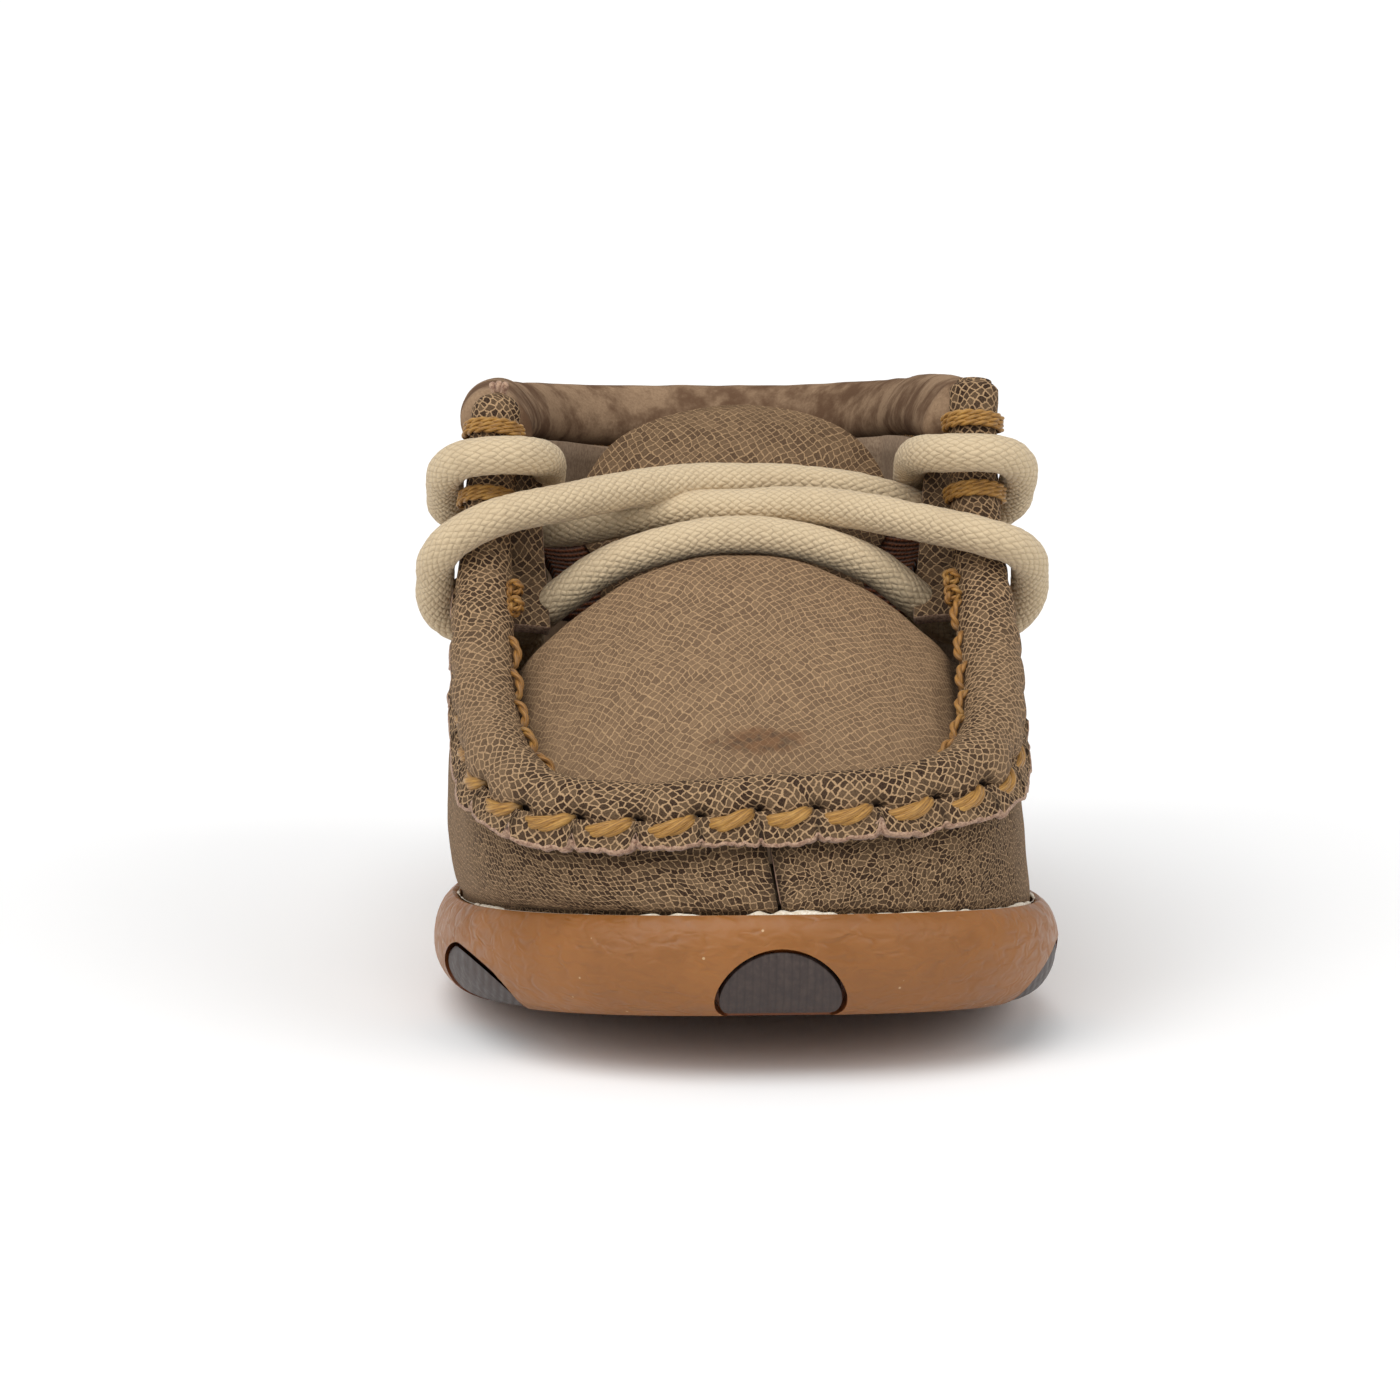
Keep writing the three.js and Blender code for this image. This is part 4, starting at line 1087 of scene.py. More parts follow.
@dataclass(frozen=True)
class UpperShape:
    """The curves that the upper is sewn along, and the surface between them."""

    sole: SoleShape = SoleShape()
    leather: float = 1.4
    wall_inset: float = 2.95
    bulge_left: float = 1.7
    bulge_right: float = 0.1
    toe_bulge: float = 0.8
    roll: SidedPath = field(default_factory=lambda: SidedPath(ROLL_LEFT, ROLL_RIGHT))
    collar: SidedPath = field(default_factory=lambda: SidedPath(COLLAR_LEFT, COLLAR_RIGHT))
    ridge: Path = field(default_factory=lambda: Path([[0, *p] for p in APRON_RIDGE]))
    tongue: Path = field(default_factory=lambda: Path([[0, *p] for p in TONGUE_RIDGE]))

    @staticmethod
    def roll_radius(points: np.ndarray) -> np.ndarray:
        """The roll's radius at points of its middle line."""
        return lerp(3.15, 2.5, ease(points[..., 2], 38, 50))

    def wall_top(self, stations: Stations) -> np.ndarray:
        """The upper edge of the wall: under the roll ahead of the collar, under the collar behind it.

        Args:
            stations: Where along the sole.

        Returns:
            One point for each station.
        """
        top = np.zeros_like(stations.points)
        y, last = stations.points[:, 1], ROLL_RIGHT[-1][1]
        share = (y - self.sole.toe_y) / (last - self.sole.toe_y)
        back = (y - last) / (self.sole.back_y - last)
        for side in Side:
            own = stations.sides == side
            ahead, behind = own & (share <= 1), own & (share > 1)
            if ahead.any():
                at_y = lerp(ROLL_JOINT[1], last, share[ahead])
                at = self.roll.places(self.roll.share_at_y(side, at_y))
                reach = self.roll_radius(at.points)[:, None]
                top[ahead] = at.points + at.out * (reach - 1) + at.down * (reach + GAP)
            if behind.any():
                at_y = lerp(COLLAR_RIGHT[-1][1], COLLAR_JOINT[1], back[behind])
                at = self.collar.places(self.collar.share_at_y(side, at_y))
                top[behind] = at.points + at.out * 1.6 - UP * (3.3 + 2 * GAP)
        return top

    def wall(
        self,
        stations: Stations,
        shares: np.ndarray,
        depth: Numbers = 0.0,
        from_floor: float = GAP,
        below_top: Numbers = 0.0,
    ) -> np.ndarray:
        """Points of the side wall.

        Args:
            stations: Where along the sole.
            shares: Where up the wall, 0 at the sole's rim and 1 at the top; IN_CUP is its foot in the sole.
            depth: How far inside the outer face, for all stations or for each.
            from_floor: Height of the foot over the sole's floor.
            below_top: How far the upper edge is let down.

        Returns:
            Points, stations by shares by 3.
        """
        depth = np.broadcast_to(depth, len(stations.points))[:, None]
        foot = stations.points - self.wall_inset * stations.outs
        rim = foot.copy()
        rim[:, 2] = self.sole.underside(foot[:, 1]) + self.sole.rim_height + 0.3
        top = self.wall_top(stations) - UP * below_top
        bulge = np.where(stations.sides > 0, self.bulge_right, self.bulge_left)
        most = lerp(self.toe_bulge, bulge, np.abs(stations.outs[:, 0]))
        rows = []
        for share in shares:
            if share < 0:
                points = foot.copy()
                points[:, 2] = lerp(rim[:, 2], self.sole.floor(foot[:, 1]) + from_floor, share / IN_CUP)
                swell = np.zeros_like(most)
            else:
                points = lerp(rim, top, share)
                swell = most * math.sin(math.pi * share**0.6)
            rows.append(points + stations.outs * (swell[:, None] - depth))
        return np.stack(rows, axis=1)


# ---- sole --------------------------------------------------------------------------------------------------
@dataclass
class Pod:
    """A dark rubber plug in the sole's lower edge."""

    y: float
    side: Side
    long: float
    tall: float
    slope: float = 45
    depth: float = 2.6


@dataclass
class Outsole:
    """The gum cup sole with its dark pods and tread pads, and the cement squeezed out round its rim."""

    shape: UpperShape
    wardrobe: Wardrobe
    cup_wall: float = 2.6
    pod_sink: float = 0.3
    groove: float = 0.5
    pad_radius: float = 7.5
    pad_depth: float = 1.8
    pods: dict = field(
        default_factory=lambda: {
            "toe_pod": Pod(-63, Side.RIGHT, 5.9, 4.9, 30, 2.2),
            "forefoot_pod_left": Pod(-40, Side.LEFT, 9, 3.9),
            "forefoot_pod_right": Pod(-40, Side.RIGHT, 9, 3.9),
            "heel_pod_left": Pod(34, Side.LEFT, 8, 3.9),
            "heel_pod_right": Pod(34, Side.RIGHT, 8, 3.9),
            "heel_pod_back": Pod(63, Side.RIGHT, 6.6, 4),
        }
    )
    pads: dict = field(default_factory=lambda: {"tread_pad_front": -14.0, "tread_pad_rear": 27.0})

    def skin_rings(self, stations: Stations, shrink: float = 0.0) -> list[np.ndarray]:
        """Rings of the outer skin from the underside's middle to the rim.

        Args:
            stations: The stations that they follow.
            shrink: How far inside the skin they lie.

        Returns:
            The rings.
        """
        corners = [(9, 0), (4.2, 0.02), (1.7, 1.1), (0.4, 3), (0, 5), (0.3, 7.6), (1.1, 9.3), (1.9, 10)]
        profile = Path([[inset, rise, 0] for inset, rise in corners])
        shares = np.concatenate([[0], np.linspace(0.28, 1, 20)])
        under = self.shape.sole.underside
        steps = [(max(0.0, inset), max(0.0, rise)) for inset, rise, _ in profile.at(shares)]
        cores = self.shape.sole.cores(stations, steps[0][0] + shrink, lambda y: under(y) + shrink)
        return cores[::-1] + [
            self.shape.sole.ring(stations, inset + shrink, lambda y, rise=rise: under(y) + max(rise, shrink))
            for inset, rise in steps
        ]

    def solid(self, name: str, rings: list[np.ndarray]) -> bpy.types.Object:
        """A closed skin over rings that go round the sole, with its first and last ring filled.

        Args:
            name: The object's name.
            rings: The rings, in order.

        Returns:
            The object.
        """
        sewing = Sewing()
        stack = np.stack([np.concatenate([ring, ring[:1]]) for ring in rings])
        sewing.sheet(stack)
        bmesh.ops.remove_doubles(sewing.bm, verts=sewing.bm.verts, dist=1e-6)
        open_edges = [edge for edge in sewing.bm.edges if edge.is_boundary]
        filled = bmesh.ops.holes_fill(sewing.bm, edges=open_edges, sides=0)["faces"]
        bmesh.ops.triangulate(sewing.bm, faces=filled, ngon_method="BEAUTY")
        return sewing.finish(name, sharp=45)

    def plug(self, pod: Pod, margin: float, extra: float) -> bpy.types.Object:
        """An oval plug driven into the lower edge.

        Args:
            pod: The pod that it makes, or makes room for.
            margin: Room round it.
            extra: Room behind it.

        Returns:
            The plug.
        """
        sole = self.shape.sole
        one = sole.stations(pod.side)
        nearest = np.abs(one.points[:, 1] - pod.y).argmin()
        out = one.outs[nearest]
        point = np.array([sole.middle(pod.y) + pod.side * sole.half_width(pod.y, pod.side), pod.y, 0.0])
        slope = math.radians(pod.slope)
        along, inwards = np.cross(UP, out), UP * math.sin(slope) - out * math.cos(slope)
        up = np.cross(inwards, along)
        edge = point - out + UP * (sole.underside(point[1]) + 1)
        angles = np.linspace(0, 2 * math.pi, 72, endpoint=False)
        oval = (
            np.cos(angles)[:, None] * along * (pod.long + margin)
            + np.sin(angles)[:, None] * up * (pod.tall + margin)
        )
        rings = [
            edge + oval * size + inwards * deep
            for deep, size in ((-8, 1), (pod.depth + extra, 1), (pod.depth + extra, 0.2))
        ]
        sewing = Sewing()
        sewing.tube(np.stack(rings), slot=0)
        return sewing.finish("plug")

    def round_plug(self, y: float, radius: float, depth: float) -> bpy.types.Object:
        """A round plug up into the flat underside.

        Args:
            y: Where along the sole.
            radius: Its radius.
            depth: How far up it goes.

        Returns:
            The plug.
        """
        bm = bmesh.new()
        bmesh.ops.create_cone(
            bm, cap_ends=True, segments=64, radius1=radius * MM, radius2=radius * MM, depth=(depth + 2) * MM
        )
        middle = (self.shape.sole.middle(y), y, self.shape.sole.underside(y) + (depth - 2) / 2)
        bmesh.ops.translate(bm, verts=bm.verts, vec=Vector(middle) * MM)
        return to_object(bm, "plug")

    def build(self) -> None:
        """Makes the outsole, its pods and pads, and the cement."""
        sole = self.shape.sole
        stations = sole.loop()
        rings = self.skin_rings(stations)
        rim = [(2.25, 9.95), (self.cup_wall, 9.6), (self.cup_wall, 7.5)]
        rings += [
            sole.ring(stations, inset, lambda y, rise=rise: sole.underside(y) + rise) for inset, rise in rim
        ]
        rings += [sole.ring(stations, inset, sole.floor) for inset in (self.cup_wall, 9)]
        rings += sole.cores(stations, 9, sole.floor)
        outsole = self.wardrobe.dress(self.solid("outsole_gum", rings), "gum_rubber")
        tools = []
        for name, pod in self.pods.items():
            tools.append(self.plug(pod, self.groove, GAP))
            filled = self.solid(name + "_rubber", self.skin_rings(stations, self.pod_sink))
            cut_with(filled, [self.plug(pod, 0, 0)], "INTERSECT")
            self.trim(filled, name)
        for name, y in self.pads.items():
            tools.append(self.round_plug(y, self.pad_radius + self.groove, self.pad_depth + GAP))
            filled = self.solid(name + "_rubber", self.skin_rings(stations, self.pod_sink))
            cut_with(filled, [self.round_plug(y, self.pad_radius, self.pad_depth)], "INTERSECT")
            self.trim(filled, name)
        # The cut groove faces take the darker gum, which is painted shade in the grooves.
        for tool in tools:
            self.wardrobe.dress(tool, "groove_shade_rubber")
        cut_with(outsole, tools)
        outsole.data.set_sharp_from_angle(angle=math.radians(42))
        place_piece(outsole, "gum_rubber", "outsole")
        self.cement()

    def trim(self, filled: bpy.types.Object, node: str) -> None:
        """Softens a pod's edge and puts it in place.

        Args:
            filled: The pod or pad.
            node: The CAD node that it stands for.
        """
        edge = filled.modifiers.new("edge", "BEVEL")
        edge.width, edge.segments = 0.35 * MM, 3
        edge.limit_method, edge.angle_limit = "ANGLE", math.radians(55)
        settle(filled)
        filled.data.set_sharp_from_angle(angle=math.radians(60))
        place_piece(self.wardrobe.dress(filled, "pod_rubber"), "dark_rubber", node)

    def cement(self) -> None:
        """Lays the ragged line of dried cement between the wall and the sole's rim."""
        sole = self.shape.sole
        ring = sole.ring(sole.loop(toe=160, waist=110, heel=90), 2.55, lambda y: sole.underside(y) + 9.95)
        places = steady_places(np.concatenate([ring, ring[:1]]))
        blobs = np.clip(0.1 + 1.8 * rough(places.points, 7.0, 3) + 0.9 * rough(places.points, 1.3, 5), 0, 1)
        front = 0.4 + 0.6 * ease(-places.points[:, 1], 35, 60)
        radius = 0.03 + 0.6 * blobs * front
        rings = rings_round(places, radius, 8)
        rings[..., 2] = places.points[:, None, 2] + (rings[..., 2] - places.points[:, None, 2]) * 0.75
        sewing = Sewing()
        sewing.tube(rings, pointed=False)
        piece = self.wardrobe.dress(sewing.finish("cement_line"), "dried_cement")
        place_piece(piece, "gum_rubber")


@dataclass
class Insoles:
    """The insole board and the footbed inside the sole."""

    shape: UpperShape
    wardrobe: Wardrobe
    inset: float = 6.45
    low: float = 2.2
    high: float = 5.0
    heel_room: float = 1.9

    def build(self) -> None:
        """Makes the footbed and dresses the board."""
        sole = self.shape.sole
        stations = sole.loop(toe=30, waist=30, heel=26)
        room = self.heel_room * ease(stations.points[:, 1], COUNTER_FROM, COUNTER_TO)[:, None] * stations.outs
        steps = [(6, 0), (0, 0), (0, 2.1), (0.5, 2.6), (1.4, 2.8), (4, 2.6)]
        rings = []
        for extra, lift in steps:
            ring = sole.ring(
                stations, self.inset + extra, lambda y, lift=lift: sole.floor(y) + self.low + lift
            )
            rings.append(ring - room)
        rings = sole.cores(stations, self.inset + 6, lambda y: sole.floor(y) + self.low)[::-1] + rings
        rings += sole.cores(stations, self.inset + 6, lambda y: sole.floor(y) + self.low + 2.2)
        piece = Outsole(self.shape, self.wardrobe).solid("footbed_pad", rings)
        place_piece(self.wardrobe.dress(piece, "lining_leather"), "lining_leather", "footbed")
        self.wardrobe.dress_node("insole_board", "fibre_board")


# ---- lace --------------------------------------------------------------------------------------------------
LACE_ROUTE = [
    [-9, 33.5, 13.2], [-12, 26.5, 12.9], [-15, 18, 12.7], [-17.6, 10, 13.2], [-19.6, 4.4, 17.6],
    [-20.6, 1.4, 27],
    [-20.8, 0.6, 36], [-20.2, -0.8, 43.5], [-19.2, -4.4, 50], [-18.8, -9.4, 53.2], [-19.2, -14.4, 55],
    [-21.2, -18.6, 56], [-24.6, -19.8, 56.2], [-28, -18, 55.4], [-29, -13.4, 52.6], [-29, -8.8, 49.6],
    [-25.6, -7, 47.8], [-21.4, -7.8, 47.2], [-17, -9.6, 47.4], [-11.6, -12, 48.6], [-5, -13.8, 49.8],
    [1, -15, 50.1],
    [7, -15.8, 50.4], [13, -17.6, 50], [18.6, -20.8, 49.2], [24.4, -23.4, 48.2], [28.4, -22.2, 46.4],
    [30.2, -18.6, 43.6], [30.2, -15.4, 40.6], [29, -13.2, 38.4], [25.8, -12.6, 37.4], [22.4, -13.6, 37.6],
    [19.2, -16.6, 40.4], [13.8, -18, 44.6], [7, -18.4, 47], [0.6, -18.5, 47.8], [-6, -18.4, 47],
    [-13, -18, 44.6],
    [-18.8, -16.6, 40.4], [-22.2, -13.6, 37.6], [-25.6, -12.6, 37.4], [-28.8, -13.2, 38.4],
    [-30.4, -15.4, 40.8],
    [-30.2, -18.6, 44.4], [-28.4, -22, 48], [-24.4, -22.6, 50.2], [-18.4, -20, 51.2], [-11.6, -16, 52],
    [-5, -12.6, 52.4], [1, -11.2, 52.3], [7.4, -10.8, 52], [13, -10.6, 51.2], [17.4, -10.2, 50],
    [21.4, -8.4, 48.4],
    [25.6, -7, 47.8], [29, -8.8, 49.6], [29.2, -13.4, 52.6], [28.2, -18, 55.4], [24.8, -19.8, 56.2],
    [21.4, -18.6, 56], [19.4, -14.4, 55.4], [19, -9.4, 54], [19.4, -4.4, 50.6], [20.4, -0.8, 43.5],
    [21, 0.6, 36],
    [20.8, 1.4, 27], [19.8, 4.4, 17.6], [17.8, 10, 13.2], [15.2, 18, 12.7], [12.2, 26.5, 12.9],
    [9.4, 33.5, 13.2],
]  # fmt: skip
EYELETS = [(-25.7, -12.6, 37.4), (25.7, -12.6, 37.4), (-25.6, -7, 47.8), (25.6, -7, 47.8)]


@dataclass
class Lace:
    """The braided lace with its aglets, and the ways that it needs through the leather."""

    shape: UpperShape
    wardrobe: Wardrobe
    diameter: float = 3.9
    aglet_diameter: float = 2.6

    def __post_init__(self) -> None:
        """Lays the route, moved off the roll where it rests on it."""
        spaced = Path(LACE_ROUTE).at(np.linspace(0, 1, 151))
        middle = self.shape.roll.at(np.linspace(0, 1, 161))
        nearest = middle[np.linalg.norm(spaced[:, None] - middle[None], axis=2).argmin(axis=1)]
        away = spaced - nearest
        least = self.shape.roll_radius(nearest) + self.diameter / 2 + GAP
        short = np.linalg.norm(away, axis=1) < least
        spaced[short] = nearest[short] + unit(away[short]) * least[short, None]
        self.path = Path(spaced, 12)

    def build(self) -> None:
        length = self.path.length
        reached = np.linspace(0, length, 1300)
        places = steady_places(self.path.at(reached / length))
        sides = 36
        turn = np.arange(sides + 1) / sides
        surface = rings_round(places, np.full(len(reached), self.diameter / 2), sides)
        radius = self.diameter / 2 + 0.07 * rough(surface, 0.7, 11) + 0.06 * rough(surface, 3.0, 12)
        rings = rings_round(places, radius, sides)
        girth = math.pi * self.diameter
        uv = np.stack(np.meshgrid(reached, turn * girth, indexing="ij"), -1)
        sewing = Sewing()
        sewing.tube(rings, uv)
        lace = self.wardrobe.dress(sewing.finish("braided_lace"), "lace_cord")
        place_piece(lace, "lace_cord", "lace")
        aglets = [self.aglet("left", 0), self.aglet("right", -1)]
        [tuple(p * MM) for p in self.path.at(np.linspace(0, 1, 400))]
        LOG.info("lace length %.1f mm", length)

    def aglet(self, name: str, end: int) -> bpy.types.Object:
        """One of the plastic tips, with a crimp near the lace.

        Args:
            name: Which tip.
            end: Which end of the lace's route it is on, 0 or -1.

        Returns:
            The tip, in place.
        """
        tip, before = np.array(LACE_ROUTE[end], float), np.array(LACE_ROUTE[1 if end == 0 else -2], float)
        outwards = (tip - before) * (1, 1, 0)
        outwards = outwards / np.linalg.norm(outwards)
        steps = [(0, 0.9), (0.25, 1), (2, 1), (2.4, 0.93), (2.8, 1), (11.2, 1), (11.8, 0.9), (12, 0.7)]
        centres = np.array([tip + outwards * (GAP + along) for along, _ in steps])
        radius = np.array([size for _, size in steps]) * self.aglet_diameter / 2
        sewing = Sewing()
        sewing.tube(rings_round(steady_places(centres), radius, 20))
        made = self.wardrobe.dress(sewing.finish("aglet_tip_" + name, sharp=50), "aglet_plastic")
        return place_piece(made, "aglet", "aglet_" + name)

    def ways(self) -> list[bpy.types.Object]:
        """Round tools along the lace where it goes through leather.

        Returns:
            One tool for each eyelet.
        """
        tools = []
        shares = np.linspace(0, 1, 1500)
        points = self.path.at(shares)
        for eyelet in EYELETS:
            off = np.linalg.norm(points - np.array(eyelet), axis=1)
            nearest = off.argmin()
            reach = 5.0 / self.path.length
            places = steady_places(
                self.path.at(np.linspace(shares[nearest] - reach, shares[nearest] + reach, 14))
            )
            sewing = Sewing()
            sewing.tube(rings_round(places, np.full(14, self.diameter / 2 + 0.25), 24))
            tools.append(self.wardrobe.dress(sewing.finish("eyelet_tool"), "raw_leather_edge"))
        return tools


# ---- walls -------------------------------------------------------------------------------------------------
@dataclass
class SideWalls:
    """The two leather walls, the lining and counter inside them, and the strip over the heel seam."""

    shape: UpperShape
    wardrobe: Wardrobe
    lace: Lace
    seam_gap: float = 0.2
    lining_depth: float = 2.15
    counter_room: float = 1.9
    strip_width: float = 12

    def build(self) -> None:
        """Makes the walls, the lining and the heel strip."""
        for side, name in ((Side.LEFT, "left"), (Side.RIGHT, "right")):
            self.wall(side, name)
        self.lining()
        self.heel_strip()
        self.wardrobe.dress_node("heel_counter", "fibre_board")

    def wall(self, side: Side, name: str) -> None:
        """Makes one wall, with its eyelets cut through.

        Args:
            side: Which side.
            name: The side's name.
        """
        stations = self.shape.sole.stations(side, toe=60, waist=80, heel=56)
        shares = np.concatenate([[-1, -0.5], np.linspace(0, 1, 44)])
        rows = self.shape.wall(stations, shares)
        rows = np.concatenate([rows, self.hem(stations, rows[:, -1], side)], axis=1)
        above = np.concatenate([[0, 0], np.linspace(0, 1, 44), [1, 1, 1]])
        lumps = 0.3 * rough(rows, 11, 2 + side) + 0.12 * rough(rows, 3.2, 6 + side)
        lumps += 0.18 * rough(rows * (1, 1, 0.35), 2.6, 9) * ease(above, 0.55, 1)
        rows = rows + stations.outs[:, None] * (lumps * ease(above, 0, 0.15))[..., None]
        for end in (0, -1):
            rows[end, :, 0] += side * self.seam_gap
        y = rows[..., 1]
        worn = 0.6 * ease(y, -50, -34) * (1 - 0.5 * ease(y, -10, 20)) + 0.1 * ease(above, 0.25, 0)[None, :]
        # Painted shade along the toe seam where the two walls meet, given as the hole mark.
        seam = np.exp(-((np.abs(rows[..., 0] - rows[0, :, 0]) / 0.5) ** 2)) * (y < -40)
        sewing = Sewing()
        sewing.sheet(rows, worn=np.clip(worn, 0, 1), hole=0.55 * seam)
        piece = sewing.finish("side_wall_" + name, closed=False, inside=(0, 0, 20))
        self.wardrobe.dress(piece, "wall_leather_" + name, "raw_leather_edge")
        thicken(piece, self.shape.leather, rim_slot=1)
        settle(piece)
        cut_with(piece, self.lace.ways())
        place_piece(piece, "embossed_leather", "wall_" + name)

    def hem(self, stations: Stations, top: np.ndarray, side: Side) -> np.ndarray:
        """The wall's edge above its seam line, tucked against the roll or the collar.

        Args:
            stations: Where along the sole.
            top: The wall's upper edge.
            side: Which side.

        Returns:
            Points, stations by 3 by 3.
        """
        last = ROLL_RIGHT[-1][1]
        share = np.clip(
            (stations.points[:, 1] - self.shape.sole.toe_y) / (last - self.shape.sole.toe_y), 0, 1
        )
        at = self.shape.roll.places(self.shape.roll.share_at_y(side, lerp(ROLL_JOINT[1], last, share)))
        angle = lerp(-76, -34, np.abs(at.out[:, 1]))
        under_roll = at.around(self.shape.roll_radius(at.points) + 0.1, angle)
        back = ((stations.points[:, 1] - last) / (self.shape.sole.back_y - last))[:, None]
        goal = np.where(back > 0, top + UP * 0.9, under_roll)
        return np.stack([lerp(top, goal, k) for k in (0.35, 0.7, 1.0)], axis=1)

    def lining(self) -> None:
        """Makes the lining, all the way round inside the walls."""
        stations = self.shape.sole.loop(toe=36, waist=40, heel=36)
        depth = self.lining_depth + self.counter_room * ease(stations.points[:, 1], COUNTER_FROM, COUNTER_TO)
        shares = np.concatenate([[-1, -0.5], np.linspace(0, 1, 22)])
        drop = np.where(stations.points[:, 1] > -9, -0.7, 2.2)[:, None]
        rows = self.shape.wall(stations, shares, depth, from_floor=1.85 + GAP, below_top=drop)
        lumps = 0.2 * rough(rows, 9, 14) * ease(shares, 0, 0.3)
        rows = rows - stations.outs[:, None] * np.abs(lumps)[..., None]
        rows = np.concatenate([rows, rows[:1]])
        sewing = Sewing()
        sewing.sheet(rows)
        piece = sewing.finish("inner_lining", closed=False, inside=(0, 0, 20))
        thicken(self.wardrobe.dress(piece, "lining_leather"), 1.0)
        settle(piece)
        cut_with(piece, self.lace.ways())
        self.wardrobe.dress(piece, "lining_leather")
        place_piece(piece, "lining_leather", "lining")

    def heel_strip(self) -> None:
        """Makes the strip over the heel seam, with a row of stitches down each edge."""
        both = [self.shape.sole.stations(side, toe=4, waist=4, heel=60) for side in (Side.RIGHT, Side.LEFT)]
        parts = [
            s.part((np.abs(s.points[:, 0]) < self.strip_width) & (s.points[:, 1] > self.shape.sole.heel_y))
            for s in both
        ]
        stations = parts[0] + parts[1].part(slice(-2, None, -1))
        shares = np.linspace(0.03, 0.92, 30)
        rows = self.shape.wall(stations, shares, depth=-(self.shape.leather + GAP))
        rows = rows + stations.outs[:, None] * (0.12 * rough(rows, 7, 4))[..., None]
        sewing = Sewing()
        sewing.sheet(rows, worn=0.25)
        piece = sewing.finish("heel_seam_strip", closed=False, inside=(0, 0, 20))
        self.wardrobe.dress(piece, "wall_leather_left", "raw_leather_edge")
        thicken(piece, self.shape.leather + 0.2, rim_slot=1)
        settle(piece)
        place_piece(piece, "embossed_leather", "heel_strip")
        sewing = Sewing()
        across = np.linspace(0, 1, len(stations.points))
        for edge in (0.1, 0.9):
            nearest = np.abs(across - edge).argmin()
            line, out = rows[nearest], stations.outs[nearest]
            run = Path(line)
            for start in np.arange(0.6, run.length - 2.4, 2.6):
                shares_of = np.linspace(start, start + 2.1, 9) / run.length
                lift = 0.32 * np.sin(np.linspace(0, np.pi, 9)) - 0.12
                strand(sewing, run.at(shares_of) + out * lift[:, None], 0.28, 6)
        stitches = self.wardrobe.dress(sewing.finish("heel_strip_stitches"), "inner_thread")
        place_piece(stitches, "waxed_thread")


def strand(sewing: Sewing, points: np.ndarray, radius: float, sides: int, hole: Numbers = 0.0) -> None:
    """Lays one round strand along points, drawn in at both ends."""
    share = np.linspace(0, 1, len(points))
    size = radius * np.clip(4 * np.minimum(share, 1 - share) + 0.55, 0, 1)
    rings = rings_round(steady_places(points), size, sides)
    sewing.tube(rings, hole=hole)


def twisted(
    sewing: Sewing,
    points: np.ndarray,
    radius: float,
    lay: float,
    plies: int = 2,
    sides: int = 8,
    start: float = 0.0,
) -> None:
    """Lays a twisted thread along points, drawn together at both ends.

    Args:
        sewing: The mesh that it goes into.
        points: The thread's middle line, evenly spaced, in millimetres.
        radius: The thread's radius.
        lay: Length of one turn of the twist.
        plies: How many strands it is twisted from.
        sides: Sides of each strand.
        start: Angle at which the twist starts, in radians.
    """
    places = steady_places(points)
    reached = np.concatenate([[0], np.cumsum(np.linalg.norm(np.diff(points, axis=0), axis=1))])
    share = np.linspace(0, 1, len(points))
    full = 0.45 + 0.55 * np.sin(np.pi * share) ** 0.5
    # dark is painted shade at both ends of each strand, where it sinks into its hole.
    dark = np.exp(-((np.minimum(share, 1 - share) * reached[-1] / 0.5) ** 2))[:, None] * np.ones(sides + 1)
    for ply in range(plies):
        turn = np.degrees(reached / lay * 2 * math.pi + ply * 2 * math.pi / plies + start)
        line = places.around(radius * (0.46 if plies == 2 else 0.52) * full, turn)
        strand(sewing, line, radius * (0.6 if plies == 2 else 0.52), sides, dark)


